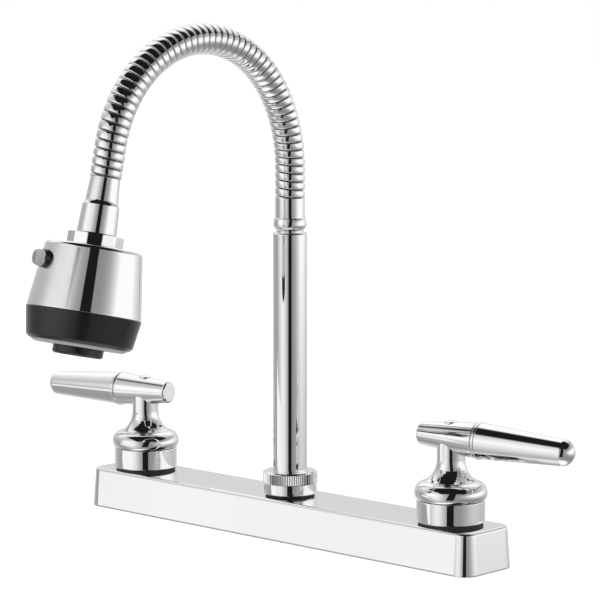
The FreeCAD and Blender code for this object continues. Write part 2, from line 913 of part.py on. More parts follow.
def handle_screw(label):
    """Slotted screw that holds the handle on the stem's head."""
    seat = screw_seat() + size("CloseFit")
    top = seat + size("ScrewHeadHeight")
    tip = broach_top() - size("ScrewShankLength") + size("LooseFit")
    body = turned(label, [
        (0, tip),
        (size("ScrewShankRadius"), tip),
        (size("ScrewShankRadius"), seat),
        (size("ScrewHeadRadius"), seat),
        (size("ScrewHeadRadius"), top),
        (0, top),
    ])
    slot = new_sketch(body, "slot_outline", "XY_Plane", offset=top)
    draw_rectangle(slot, size("ScrewHeadRadius") * 3, size("ScrewSlotWidth"))
    pocket(body, slot, "slot", size("ScrewSlotDepth"))
    return body


def index_cap(label):
    """Bare plug over the screw, slightly domed."""
    foot = size("BarHeight") + size("CapFootRise")
    top = size("BarHeight") + size("CapTopRise")
    return turned(label, [
        (0, foot),
        (size("CapRadius"), foot),
        (size("CapRadius"), top - size("CapDome")),
        (0, top, dome_radius(size("CapRadius"), size("CapDome"))),
    ])


def valve_and_handle(side, sign):
    """Everything that stands on one handle's axis."""
    place = size("HandleSpacing") * (0.5 * sign)
    for body in (
        valve_body(f"{side}_valve_body", -sign),
        lock_nut(f"{side}_lock_nut"),
        seat_gasket(f"{side}_seat_gasket"),
        escutcheon(f"{side}_escutcheon"),
        cartridge_nut(f"{side}_cartridge_nut"),
        cartridge(f"{side}_cartridge"),
        ring(f"{side}_cartridge_seal", size("CartridgeSealBore"), size("DiscRadius"),
             chamber_floor(), disc_floor()),
        ceramic_disc(f"{side}_fixed_disc", disc_floor(), False),
    ):
        move(body, place)
    lean = size("ColdHandleTurn") if sign > 0 else size("HotHandleTurn") + 180
    moving_floor = disc_floor() + size("DiscHeight") + size("CloseFit")
    for body in (
        ceramic_disc(f"{side}_moving_disc", moving_floor, True),
        stem(f"{side}_stem"),
        stem_seal(f"{side}_stem_seal"),
        handle(f"{side}_handle"),
        lever_collar(f"{side}_lever_collar"),
        lever(f"{side}_lever"),
        handle_screw(f"{side}_handle_screw"),
        index_cap(f"{side}_index_cap"),
    ):
        move(body, place, lean)


def waterway(label, sign):
    """Straight brass tube from a valve's side port to the spout hub."""
    body = new_body(label)
    near = size("SpoutHubRadius") - size("PipeInsert")
    far = size("HandleSpacing") / 2 - size("ValveBodyRadius") + size("PipeInsert")
    section = new_sketch(body, "section", "YZ_Plane", offset=near * sign)
    draw_circle(section, size("PipeRadius"), 0, port_height())
    draw_circle(section, size("PipeBore"), 0, port_height())
    pad(body, section, "tube", far - near, backward=sign < 0)
    return body


# ---------------------------------------------------------------------------------------------
# Spout


def spout_neck_top():
    return size("DeckHeight") + size("SpoutNeckRise")


def bushing_foot():
    return spout_neck_top() - size("BushingDrop")


def spout_hub():
    """Brass hub: a closed cup that gathers both tubes, with a threaded neck for the spout nut."""
    bore = size("BushingRadius") + size("RunningFit")
    floor = size("SpoutHubFoot") + size("SpoutHubFloor")
    body = turned("spout_hub", [
        (0, size("SpoutHubFoot")),
        (size("SpoutHubRadius"), size("SpoutHubFoot")),
        (size("SpoutHubRadius"), shoulder_height()),
        (size("SpoutNeckRadius"), shoulder_height()),
        (size("SpoutNeckRadius"), spout_neck_top()),
        (bore, spout_neck_top()),
        (bore, floor),
        (0, floor),
    ])
    ports = new_sketch(body, "ports_outline", "YZ_Plane", offset=-size("SpoutHubRadius") * 1.5)
    draw_circle(ports, size("PipeRadius") + size("CloseFit"), 0, port_height())
    pocket(body, ports, "ports", size("SpoutHubRadius") * 3, backward=True)
    return body


def spout_nut():
    """Nut that holds the tube down: smooth below, with a ring of fine straight knurls above."""
    low = size("DeckHeight") + size("SpoutGasketHeight")
    top = size("DeckHeight") + size("SpoutNutRise")
    crown = top - size("KnurlTopDrop")
    knurl = top - size("KnurlHeight")
    ceiling = spout_neck_top() + size("RetainingRingHeight") + size("CloseFit") * 4
    bore = size("SpoutNeckRadius") + size("RunningFit") * 2
    way = size("SpoutTubeRadius") + size("RunningFit")
    radius = size("SpoutNutRadius")
    smooth = size("SpoutNutSmoothRadius")
    depth = size("KnurlDepth")
    body = turned("spout_nut", [
        (bore, low),
        (smooth - 0.5, low),
        (smooth, low + 0.5),
        (smooth, knurl),
        (radius, knurl),
        (radius, crown),
        (smooth - depth, crown),
        (smooth - depth * 2, top),
        (way, top),
        (way, ceiling),
        (bore, ceiling),
    ])
    notch = new_sketch(body, "notch_outline", "XY_Plane", offset=crown)
    draw_outline(notch, [
        (radius - depth, 0),
        (radius + 0.2, -depth - 0.1),
        (radius + 0.2, depth + 0.1),
    ])
    cut = pocket(body, notch, "notch", crown - knurl)
    polar_pattern(body, cut, notch, size("KnurlCount"))
    return body


def seal_foot():
    """The underside of the groove for the bushing's seal."""
    return bushing_foot() + size("SpoutSealHeight") * 1.5


def spout_bushing():
    """Brass foot of the tube: a seal groove, the retaining ring's groove and a spigot."""
    radius = size("BushingRadius")
    seal = size("SpoutSealRadius")
    seal_top = seal_foot() + size("SpoutSealHeight")
    groove = spout_neck_top() + size("CloseFit")
    groove_top = groove + size("RetainingRingHeight") + size("CloseFit")
    tube_foot = groove_top + size("CloseFit")
    spigot = size("SpoutTubeBore") - size("CloseFit")
    top = tube_foot + size("BushingSpigotLength")
    return turned("spout_bushing", [
        (size("BushingBore"), bushing_foot()),
        (radius, bushing_foot()),
        (radius, seal_foot()),
        (seal, seal_foot()),
        (seal, seal_top),
        (radius, seal_top),
        (radius, groove),
        (size("RetainingGrooveRadius"), groove),
        (size("RetainingGrooveRadius"), groove_top),
        (spigot, groove_top),
        (spigot, top),
        (size("BushingBore"), top),
    ])


def spout_seal():
    low = seal_foot() + size("CloseFit")
    high = low + size("SpoutSealHeight") - size("CloseFit") * 2
    return ring("spout_seal", size("SpoutSealRadius"), size("BushingRadius") + size("CloseFit"), low, high)


def retaining_ring():
    """Split ring in the bushing's groove, held between the neck and the nut's lip."""
    low = spout_neck_top() + size("CloseFit") * 1.5
    body = ring("spout_retaining_ring", size("RetainingGrooveRadius") + size("CloseFit"),
                size("RetainingRingRadius"), low, low + size("RetainingRingHeight"))
    split = new_sketch(body, "split_outline", "XY_Plane", offset=low)
    reach = size("RetainingRingRadius")
    draw_rectangle(split, size("RetainingRingGap"), reach, 0, reach / 2 + 1)
    pocket(body, split, "split", backward=True)
    return body


def spout_tube():
    """Plain chrome tube with a bevelled top edge."""
    foot = spout_neck_top() + size("RetainingRingHeight") + size("CloseFit") * 3
    top = size("SpoutTubeTop")
    edge = size("SpoutTubeEdge")
    return turned("spout_tube", [
        (size("SpoutTubeBore"), foot),
        (size("SpoutTubeRadius"), foot),
        (size("SpoutTubeRadius"), top - edge),
        (size("SpoutTubeRadius") - edge, top),
        (size("SpoutTubeBore"), top),
    ])


def hose_foot():
    """Where the hose starts, on top of the ferrule."""
    return size("SpoutTubeTop") + size("FerruleHeight")


def hose_ferrule():
    """Ferrule between tube and hose: a plug, a narrow neck, a round bead and a plain sleeve."""
    base = size("SpoutTubeTop")
    plug = size("SpoutTubeBore") - size("CloseFit")
    top = hose_foot()
    return turned("hose_ferrule", [
        (size("FerruleBore"), base - size("FerrulePlugLength")),
        (plug, base - size("FerrulePlugLength")),
        (plug, base),
        (size("FerruleNeckRadius"), base),
        (size("FerruleNeckRadius"), base + size("FerruleNeckHeight")),
        (size("FerruleBeadRadius"), base + size("FerruleBeadHeight"), 3.2),
        (size("FerruleRadius"), base + size("FerruleBeadTop"), 3.6),
        (size("FerruleRadius"), top),
        (size("SpigotRadius"), top),
        (size("SpigotRadius"), top + size("SpigotLength")),
        (size("FerruleBore"), top + size("SpigotLength")),
    ])


# ---------------------------------------------------------------------------------------------
# Hose: two straight ends and three tangent arcs, in the plane of the spout


class Route:
    """The hose's centre line in the YZ plane, walked from the tube towards the head."""

    def __init__(self):
        self.runs = []
        self.point = FreeCAD.Vector(0, 0, hose_foot().value)
        self.heading = 90.0
        straight = size("HoseStraight").value
        self.add_line(straight)
        self.add_arc(size("RiseRadius").value, size("RiseAngle").value)
        self.add_arc(size("CrownRadius").value, size("CrownAngle").value)
        self.add_arc(size("FallRadius").value, size("FallAngle").value)
        self.add_line(straight)
        self.length = sum(run["length"] for run in self.runs)

    def direction(self, heading):
        angle = math.radians(heading)
        return FreeCAD.Vector(0, math.cos(angle), math.sin(angle))

    def add_line(self, length):
        self.runs.append({"length": length, "start": self.point, "heading": self.heading, "radius": None})
        self.point = self.point + self.direction(self.heading) * length

    def add_arc(self, radius, angle):
        run = {
            "length": math.radians(angle) * radius,
            "start": self.point,
            "heading": self.heading,
            "radius": radius,
        }
        self.runs.append(run)
        self.point, self.heading = self.along(run, run["length"])

    def along(self, run, distance):
        """Point and heading at a distance into one run."""
        if run["radius"] is None:
            return run["start"] + self.direction(run["heading"]) * distance, run["heading"]
        turn = math.degrees(distance / run["radius"])
        centre = run["start"] + self.direction(run["heading"] + 90) * run["radius"]
        heading = run["heading"] + turn
        return centre - self.direction(heading + 90) * run["radius"], heading

    def at(self, distance):
        """Point and unit direction at a distance from the start."""
        for run in self.runs[:-1]:
            if distance <= run["length"]:
                break
            distance -= run["length"]
        else:
            run = self.runs[-1]
        point, heading = self.along(run, distance)
        return point, self.direction(heading)

    def wire(self, extra=0.0):
        """The route as joined lines and arcs, each end lengthened by extra."""
        edges = []
        for run in self.runs:
            start = run["start"]
            end = self.along(run, run["length"])[0]
            if run is self.runs[0]:
                start = start - self.direction(run["heading"]) * extra
            if run is self.runs[-1]:
                end = end + self.direction(run["heading"]) * extra
            if run["radius"] is None:
                edges.append(Part.LineSegment(start, end).toShape())
            else:
                middle = self.along(run, run["length"] / 2)[0]
                edges.append(Part.Arc(start, middle, end).toShape())
        return Part.Wire(edges)


def ring_wire(point, direction, radius):
    """A circle across the route, with its seam always on +X."""
    across = direction.cross(X_AXIS)
    turn = FreeCAD.Rotation(X_AXIS, across, direction, "ZXY")
    circle = Part.makeCircle(radius)
    circle.Placement = FreeCAD.Placement(point, turn)
    return Part.Wire([circle])


def tube_along(route, radius, extra=0.0):
    """A round bar along the route, each end lengthened by extra."""
    wire = route.wire(extra)
    upward = route.direction(route.runs[0]["heading"])
    profile = ring_wire(route.runs[0]["start"] - upward * extra, upward, radius)
    return wire.makePipeShell([profile], True, False)


def gooseneck_hose(route):
    """Strip-wound metal casing: one band per turn, each with a full back and a groove beside it."""
    turns = int(size("HoseTurns").value)
    pitch = route.length / turns
    crest = size("HoseRadius").value
    groove = size("HoseGrooveRadius").value
    shoulder = crest - size("HoseShoulderDrop").value
    share = size("HoseGrooveShare").value
    band = ((0.0, groove), (share, shoulder), (0.5, crest), (1.0 - share / 2, shoulder))
    wires = []
    for turn in range(turns):
        for part, radius in band:
            point, direction = route.at((turn + part) * pitch)
            wires.append(ring_wire(point, direction, radius))
    wires.append(ring_wire(*route.at(route.length), groove))
    outside = Part.makeLoft(wires, True, True)
    bore = tube_along(route, size("HoseBore").value, 1.0)
    hose = doc.addObject("Part::Feature", "gooseneck_hose")
    hose.Label = "gooseneck_hose"
    hose.Shape = outside.cut(bore)
    return hose


def inner_hose(route):
    """Soft water tube inside the metal casing, from one spigot to the other."""
    liner = doc.addObject("Part::Feature", "inner_hose")
    liner.Label = "inner_hose"
    outside = tube_along(route, size("LinerRadius").value, -size("SpigotLength").value - 0.5)
    inside = tube_along(route, size("LinerBore").value, 0.0)
    liner.Shape = outside.cut(inside)
    return liner


# ---------------------------------------------------------------------------------------------
# Spray head, built up its own axis from the nozzle's mouth, then tilted on to the hose


def head_frame(route):
    """Placement that carries the head's own axis to the end of the hose."""
    upward = -route.direction(route.heading)
    back = upward.cross(X_AXIS)
    turn = FreeCAD.Rotation(X_AXIS, back, upward, "ZXY")
    base = route.point - upward * size("HeadReach").value
    return FreeCAD.Placement(base, turn)


def head_ferrule():
    """Neck of the head: sleeve, flared bell and a flanged shaft that turns in the nut."""
    reach = size("HeadReach")
    shaft_foot = size("NeckFlangeTop") - size("NeckFlangeHeight")
    return turned("head_ferrule", [
        (size("FerruleBore"), shaft_foot),
        (size("NeckFlangeRadius"), shaft_foot),
        (size("NeckFlangeRadius"), size("NeckFlangeTop")),
        (size("NeckShaftRadius"), size("NeckFlangeTop")),
        (size("NeckShaftRadius"), size("NeckBellFoot")),
        (size("NeckBellFootRadius"), size("NeckBellFoot")),
        (size("NeckBellTopRadius"), size("NeckBellTop")),
        (size("NeckSleeveFootRadius"), size("NeckSleeveFoot"), -size("NeckSleeveFlare")),
        (size("NeckSleeveRadius"), reach),
        (size("SpigotRadius"), reach),
        (size("SpigotRadius"), reach + size("SpigotLength")),
        (size("FerruleBore"), reach + size("SpigotLength")),
    ])


def head_nut():
    """Nut with twelve narrow flats, a bevelled crown, a thin ledge on the shell and a skirt inside it."""
    body = new_body("head_nut")
    foot = size("HeadNutFoot")
    crown = size("HeadNutTop")
    sides = size("HeadNutSides")
    corner = size("HeadNutAcross") / (cosine(as_dim(180) / sides) * 2)
    way = size("NeckShaftRadius") + size("RunningFit")
    recess = size("NeckFlangeRadius") + size("RunningFit")
    ceiling = size("NeckFlangeTop") + size("LooseFit") / 2
    flats = new_sketch(body, "flats", "XY_Plane", offset=foot)
    draw_polygon(flats, corner, sides)
    draw_circle(flats, way)
    pad(body, flats, "flats_block", crown - foot)
    revolve(body, "crown", [
        (size("HeadNutCrown"), crown),
        (corner + 1, crown - size("HeadNutCrownDrop") - 1),
        (corner + 1, crown + 1),
        (size("HeadNutCrown"), crown + 1),
    ], cut=True)
    revolve(body, "skirt", [
        (recess, size("HeadNutSkirtFoot")),
        (size("HeadNutSkirtRadius"), size("HeadNutSkirtFoot")),
        (size("HeadNutSkirtRadius"), size("ShellTop")),
        (size("HeadNutLedgeRadius"), size("ShellTop")),
        (size("HeadNutLedgeRadius"), foot),
        (way, foot),
        (way, ceiling),
        (recess, ceiling),
    ])
    return body


def swivel_washer():
    low = size("HeadNutSkirtFoot") + size("CloseFit")
    return ring("swivel_washer", size("FerruleBore"), size("NeckFlangeRadius"),
                low, low + size("SwivelWasherHeight"))


def cross_drill(body, name, radius, first, last):
    """A round cut across the head, from first to last along the body's own X."""
    across = new_sketch(body, f"{name}_outline", "YZ_Plane", offset=first)
    draw_circle(across, radius, 0, size("DiverterLevel"))
    return pocket(body, across, name, last - first, backward=True)


def head_shell():
    """Chrome shell: a flat top, a soft shoulder and a gently widening skirt with two side holes."""
    wall = size("ShellWall")
    top = size("ShellTop")
    radius = size("ShellTopRadius")
    foot_radius = size("ShellFootRadius")
    round_off = size("ShellTopRound")
    body = turned("head_shell", [
        (size("HeadNutSkirtRadius") + size("CloseFit") * 2, top - wall),
        (radius - round_off, top - wall),
        (radius - wall, top - round_off),
        (foot_radius - wall, size("ShellFoot")),
        (foot_radius, size("ShellFoot")),
        (radius, top - round_off),
        (radius - round_off, top, round_off),
        (size("HeadNutSkirtRadius") + size("CloseFit") * 2, top),
    ])
    past = foot_radius + 5
    cross_drill(body, "button_holes", size("ButtonRadius") + size("RunningFit"), -past, past)
    return body


def head_band():
    """Black band under the shell, with a lip that locates inside it and a ledge for the spray plate."""
    bevel = size("BandBevel")
    foot = size("BandFoot")
    top = size("ShellFoot")
    lip = size("ShellFootRadius") - size("ShellWall") - size("BandLipGap")
    lip_top = top + size("BandLipHeight")
    bore = lip - size("BandLipWall")
    ledge = size("PlateShoulder") - size("CloseFit")
    return turned("head_band", [
        (size("BandBore"), foot),
        (size("BandFootRadius") - bevel, foot),
        (size("BandFootRadius"), foot + bevel),
        (size("BandTopRadius"), top),
        (lip, top),
        (lip - size("BandLipLean"), lip_top),
        (bore - size("BandLipLean"), lip_top),
        (bore, ledge),
        (size("BandBore"), ledge),
    ])


def spray_plate():
    """Spray face with a flange on the band's ledge and a ring of water holes."""
    bevel = size("PlateBevel")
    foot = size("PlateFoot")
    radius = size("PlateRadius")
    hole = size("NozzleRadius") + size("CloseFit") * 2
    body = turned("spray_plate", [
        (hole, foot),
        (radius - bevel * 2, foot),
        (radius, foot + bevel),
        (radius, size("PlateShoulder")),
        (size("PlateFlangeRadius"), size("PlateShoulder")),
        (size("PlateFlangeRadius"), size("PlateTop")),
        (hole, size("PlateTop")),
    ])
    water = new_sketch(body, "hole_outline", "XY_Plane", offset=foot)
    reach, half = size("PlateHoleRing"), size("PlateHoleRadius")
    draw_rectangle(water, half * 2, half * 2, reach, 0)
    cut = pocket(body, water, "water_hole", backward=True)
    polar_pattern(body, cut, water, size("PlateHoleCount"))
    return body


def nozzle():
    """Black nozzle ring, with a flange above the spray plate that keeps it in."""
    bevel = size("NozzleBevel")
    mouth = size("NozzleDrop")
    radius = size("NozzleRadius")
    shoulder = size("PlateTop") + size("CloseFit")
    top = shoulder + size("NozzleFlangeHeight")
    return turned("nozzle", [
        (size("NozzleBore"), -mouth),
        (radius - bevel, -mouth),
        (radius, bevel - mouth),
        (radius, shoulder),
        (size("NozzleFlangeRadius"), shoulder),
        (size("NozzleFlangeRadius"), top),
        (size("NozzleBore"), top),
    ])


def aerator():
    """Aerator insert: a disc with parallel slots."""
    low = size("AeratorFoot")
    body = ring("aerator", as_dim(0), size("AeratorRadius"), low, size("AeratorTop"))
    slots = new_sketch(body, "slots_outline", "XY_Plane", offset=low)
    count = int(size("AeratorSlotCount").value)
    step = size("AeratorSlotWidth") * 2
    for number in range(count):
        place = number - (count - 1) / 2
        length = size("AeratorSlotLength") - abs(place) * 2.2
        draw_rectangle(slots, length, size("AeratorSlotWidth"), 0, step * place)
    pocket(body, slots, "slots", backward=True)
    return body


def head_core():
    """Inner water body: a stream way in the middle, a spray chamber round it, a cross bore for the
    diverter's spool and a socket for the nut's skirt."""
    floor = size("HeadNutSkirtFoot") - size("CloseFit")
    socket = size("HeadNutSkirtRadius") + size("LooseFit")
    foot = size("CoreFoot")
    body = turned("head_core", [
        (size("CoreSprayOuter"), foot),
        (size("CoreRadius"), foot),
        (size("CoreRadius"), size("CoreTop")),
        (socket, size("CoreTop")),
        (socket, floor),
        (size("CoreNeckBore"), floor),
        (size("CoreNeckBore"), size("CoreStep")),
        (size("CoreBore"), size("CoreStep")),
        (size("CoreBore"), foot),
        (size("CoreSprayInner"), foot),
        (size("CoreSprayInner"), size("CoreSprayTop")),
        (size("CoreSprayOuter"), size("CoreSprayTop")),
    ])
    past = size("CoreRadius") + 1
    cross_drill(body, "spool_bore", size("SpoolRadius") + size("RunningFit"), -past, past)
    return body


def diverter_spool():
    """Spool in the core's cross bore, with a waist for the water, two seal grooves and two pegs."""
    radius = size("SpoolRadius")
    peg = size("SpoolEndRadius")
    near = size("ButtonRoot")
    far = size("PlugRoot") - size("CloseFit") * 2
    inner = size("SpoolSealPlace") - size("SpoolSealWidth") / 2
    outer = inner + size("SpoolSealWidth")
    root = size("SpoolSealRoot")
    waist = size("SpoolWaistReach")
    body = new_body("diverter_spool")
    revolve_along(body, "turning", [
        (-far - size("SpoolEndLength"), 0),
        (near + size("SpoolEndLength"), 0),
        (near + size("SpoolEndLength"), peg),
        (near, peg),
        (near, radius),
        (outer, radius),
        (outer, root),
        (inner, root),
        (inner, radius),
        (waist, radius),
        (waist, size("SpoolWaistRadius")),
        (-waist, size("SpoolWaistRadius")),
        (-waist, radius),
        (-inner, radius),
        (-inner, root),
        (-outer, root),
        (-outer, radius),
        (-far, radius),
        (-far, peg),
        (-far - size("SpoolEndLength"), peg),
    ], as_dim(0), size("DiverterLevel"))
    return body


def diverter_seals():
    """The spool's two seal rings, one solid each."""
    inner = size("SpoolSealPlace") - size("SpoolSealWidth") / 2 + size("CloseFit")
    outer = inner + size("SpoolSealWidth") - size("CloseFit") * 2
    low, high = size("SpoolSealRoot"), size("SpoolRadius") + size("CloseFit")
    body = new_body("diverter_seals")
    body.AllowCompound = True
    near = [(inner, low), (outer, low), (outer, high), (inner, high)]
    far = [(-outer, low), (-inner, low), (-inner, high), (-outer, high)]
    revolve_along(body, "near_ring", near, as_dim(0), size("DiverterLevel"))
    revolve_along(body, "far_ring", far, as_dim(0), size("DiverterLevel"))
    return body


def diverter_button():
    """Round push button with a channel across its face."""
    face = size("ButtonFace")
    root = size("ButtonRoot")
    bevel = size("ButtonBevel")
    radius = size("ButtonRadius")
    hole = size("SpoolEndRadius") + size("CloseFit")
    bottom = root + size("SpoolEndLength") + size("CloseFit") * 2
    body = new_body("diverter_button")
    revolve_along(body, "turning", [
        (bottom, 0),
        (face, 0),
        (face, radius - bevel),
        (face - bevel, radius),
        (root, radius),
        (root, hole),
        (bottom, hole),
    ], as_dim(0), size("DiverterLevel"))
    channel = new_sketch(body, "channel_outline", "YZ_Plane", offset=face)
    draw_rectangle(channel, size("ButtonChannelWidth"), radius * 3, 0, size("DiverterLevel"))
    pocket(body, channel, "channel", size("ButtonChannelDepth"))
    return body


def diverter_plug():
    """Plug on the spool's far end, pressed to send the button out again."""
    face = size("PlugFace")
    root = size("PlugRoot")
    bevel = size("ButtonBevel")
    radius = size("ButtonRadius")
    hole = size("SpoolEndRadius") + size("CloseFit")
    bottom = root + size("SpoolEndLength") + size("CloseFit") * 2
    body = new_body("diverter_plug")
    revolve_along(body, "turning", [
        (-bottom, 0),
        (-bottom, hole),
        (-root, hole),
        (-root, radius),
        (bevel - face, radius),
        (-face, radius - bevel),
        (-face, 0),
    ], as_dim(0), size("DiverterLevel"))
    return body


def build_head(route):
    frame = head_frame(route)
    clock = FreeCAD.Rotation(Z_AXIS, -90 - size("DiverterClock").value)
    clocked = frame.multiply(FreeCAD.Placement(ORIGIN, clock))
    for body in (
        head_ferrule(),
        head_nut(),
        swivel_washer(),
        head_band(),
        spray_plate(),
        nozzle(),
        aerator(),
    ):
        body.Placement = frame
    for body in (
        head_shell(),
        head_core(),
        diverter_spool(),
        diverter_seals(),
        diverter_button(),
        diverter_plug(),
    ):
        body.Placement = clocked


def check_document():
    """Stops at the first object that failed or the first sub-part that is not a sound solid."""
    for thing in doc.Objects:
        if "Invalid" in thing.State or "Error" in thing.State:
            raise RuntimeError(f"{thing.Label} failed: {thing.State}")
    for part in sub_parts():
        if part.Shape.isNull() or not part.Shape.isValid():
            raise RuntimeError(f"{part.Label} has no sound shape")


def sub_parts():
    """Bodies and free features that are pieces of the faucet."""
    kinds = ("PartDesign::Body", "Part::Feature")
    return [thing for thing in doc.Objects if thing.TypeId in kinds]


def main():
    route = Route()
    deck_cover()
    base_gasket()
    valve_and_handle("hot", -1)
    valve_and_handle("cold", 1)
    waterway("hot_waterway", -1)
    waterway("cold_waterway", 1)
    spout_hub()
    ring("spout_seat_gasket", size("SpoutNeckRadius") + size("LooseFit"),
         size("SpoutNutSmoothRadius") - 0.4, size("DeckHeight"),
         size("DeckHeight") + size("SpoutGasketHeight"))
    spout_nut()
    spout_bushing()
    spout_seal()
    retaining_ring()
    spout_tube()
    hose_ferrule()
    gooseneck_hose(route)
    inner_hose(route)
    build_head(route)
    doc.recompute()
    check_document()
    os.makedirs("parts", exist_ok=True)
    for part in sub_parts():
        part.Shape.exportStep(f"parts/{part.Label}.step")
    print("sub-parts", len(sub_parts()))
    print("hose length", round(route.length, 2))
    print("hose end", route.point, "heading", route.heading)


main()
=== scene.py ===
"""Looks of the two handle kitchen faucet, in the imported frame's own places. The object's sizes are
millimetres, turned to metres as each mesh is made. The studio's are metres."""
import math

import bmesh
import bpy
import numpy as np
from mathutils import Matrix, Vector

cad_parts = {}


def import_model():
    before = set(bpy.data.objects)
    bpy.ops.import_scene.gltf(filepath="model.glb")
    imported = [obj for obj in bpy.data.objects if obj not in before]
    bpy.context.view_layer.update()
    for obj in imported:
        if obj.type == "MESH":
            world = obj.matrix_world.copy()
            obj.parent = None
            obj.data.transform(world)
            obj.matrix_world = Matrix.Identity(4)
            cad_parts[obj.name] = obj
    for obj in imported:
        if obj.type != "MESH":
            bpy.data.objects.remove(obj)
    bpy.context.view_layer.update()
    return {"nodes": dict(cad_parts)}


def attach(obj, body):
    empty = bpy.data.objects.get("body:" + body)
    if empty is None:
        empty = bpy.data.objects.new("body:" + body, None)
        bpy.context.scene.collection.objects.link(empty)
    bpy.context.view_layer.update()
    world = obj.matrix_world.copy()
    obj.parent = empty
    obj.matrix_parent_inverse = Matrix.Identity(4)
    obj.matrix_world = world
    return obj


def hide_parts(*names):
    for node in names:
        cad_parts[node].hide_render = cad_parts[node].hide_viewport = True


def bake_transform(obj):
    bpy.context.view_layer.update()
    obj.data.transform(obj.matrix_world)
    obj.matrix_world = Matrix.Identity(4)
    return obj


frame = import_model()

NODES = frame["nodes"]
MM = 0.001

# ---------------------------------------------------------------------------------------------
# Places


def turn(angle, axis):
    return Matrix.Rotation(math.radians(angle), 4, axis)


def shift(x=0.0, y=0.0, z=0.0):
    return Matrix.Translation((x, y, z))


HANDLE_X = 101.6
BAR_HEIGHT = 60.1
HANDLE_DROOP = 1.5
SIDES = {
    "hot": {"x": -HANDLE_X, "lean": 185.7, "body": "hot_side_handle"},
    "cold": {"x": HANDLE_X, "lean": 8.9, "body": "cold_side_handle"},
}
DECK_TOP = 19.75
HANDLE_RIM = 31.55

# The hose's centre line: two straight ends and three tangent arcs, in the plane of the spout
HOSE_FOOT = 164.7
HOSE_STRAIGHT = 14.6
HOSE_ARCS = [(65.56, 33.83), (58.2, 82.33), (60.38, 50.84)]
HOSE_TURNS = 53
HEAD_REACH = 79.5


def route_runs():
    """Each run as its start, heading, radius (none for a straight) and length."""
    runs = []
    point, heading = np.array([0.0, HOSE_FOOT]), 90.0
    steps = [(None, HOSE_STRAIGHT)] + HOSE_ARCS + [(None, HOSE_STRAIGHT)]
    for radius, amount in steps:
        length = amount if radius is None else math.radians(amount) * radius
        runs.append((point, heading, radius, length))
        point, heading = along(runs[-1], length)
    return runs, point, heading


def along(run, distance):
    """Point in the YZ plane and heading at a distance into one run."""
    start, heading, radius, _ = run
    angle = math.radians(heading)
    ahead = np.array([math.cos(angle), math.sin(angle)])
    if radius is None:
        return start + ahead * distance, heading
    side = np.array([-ahead[1], ahead[0]])
    centre = start + side * radius
    heading = heading + math.degrees(distance / radius)
    angle = math.radians(heading)
    return centre + radius * np.array([math.sin(angle), -math.cos(angle)]), heading


RUNS, HOSE_END, HOSE_HEADING = route_runs()
HOSE_LENGTH = sum(run[3] for run in RUNS)


def route_at(distance):
    for run in RUNS[:-1]:
        if distance <= run[3]:
            return along(run, distance)
        distance -= run[3]
    return along(RUNS[-1], distance)


HEAD_UP = -Vector((0.0, math.cos(math.radians(HOSE_HEADING)), math.sin(math.radians(HOSE_HEADING))))
HEAD_BACK = HEAD_UP.cross(Vector((1.0, 0.0, 0.0)))
HEAD_BASE = Vector((0.0, HOSE_END[0], HOSE_END[1])) - HEAD_UP * HEAD_REACH
HEAD = Matrix.Translation(HEAD_BASE) @ Matrix((
    (1.0, HEAD_BACK.x, HEAD_UP.x, 0.0),
    (0.0, HEAD_BACK.y, HEAD_UP.y, 0.0),
    (0.0, HEAD_BACK.z, HEAD_UP.z, 0.0),
    (0.0, 0.0, 0.0, 1.0),
))
DIVERTER_LEVEL, DIVERTER_TURN = 39.2, -105.0
DIVERTER = HEAD @ turn(DIVERTER_TURN, "Z") @ shift(z=DIVERTER_LEVEL) @ turn(90.0, "Y")


def bar_place(side):
    """Carries a turned form's own axis on to the handle's drooping bar."""
    spot = SIDES[side]
    return shift(spot["x"]) @ turn(spot["lean"], "Z") @ shift(z=BAR_HEIGHT) @ turn(90.0 + HANDLE_DROOP, "Y")


def stand_place(side):
    return shift(SIDES[side]["x"]) @ turn(SIDES[side]["lean"], "Z")


# ---------------------------------------------------------------------------------------------
# Materials


def node(tree, kind, at):
    made = tree.nodes.new(kind)
    made.location = at
    return made


def span(tree, source, low, high, to_low, to_high, at):
    """Maps a value's range to another one."""
    made = node(tree, "ShaderNodeMapRange", at)
    made.inputs["From Min"].default_value = low
    made.inputs["From Max"].default_value = high
    made.inputs["To Min"].default_value = to_low
    made.inputs["To Max"].default_value = to_high
    tree.links.new(source, made.inputs["Value"])
    return made.outputs["Result"]


def noise(tree, scale, detail, at, stretch=None):
    where = node(tree, "ShaderNodeTexCoord", (at[0] - 400, at[1]))
    source = where.outputs["Object"]
    if stretch is not None:
        mapping = node(tree, "ShaderNodeMapping", (at[0] - 200, at[1]))
        mapping.inputs["Scale"].default_value = stretch
        tree.links.new(source, mapping.inputs["Vector"])
        source = mapping.outputs["Vector"]
    made = node(tree, "ShaderNodeTexNoise", at)
    made.inputs["Scale"].default_value = scale
    made.inputs["Detail"].default_value = detail
    tree.links.new(source, made.inputs["Vector"])
    return made.outputs["Fac"]


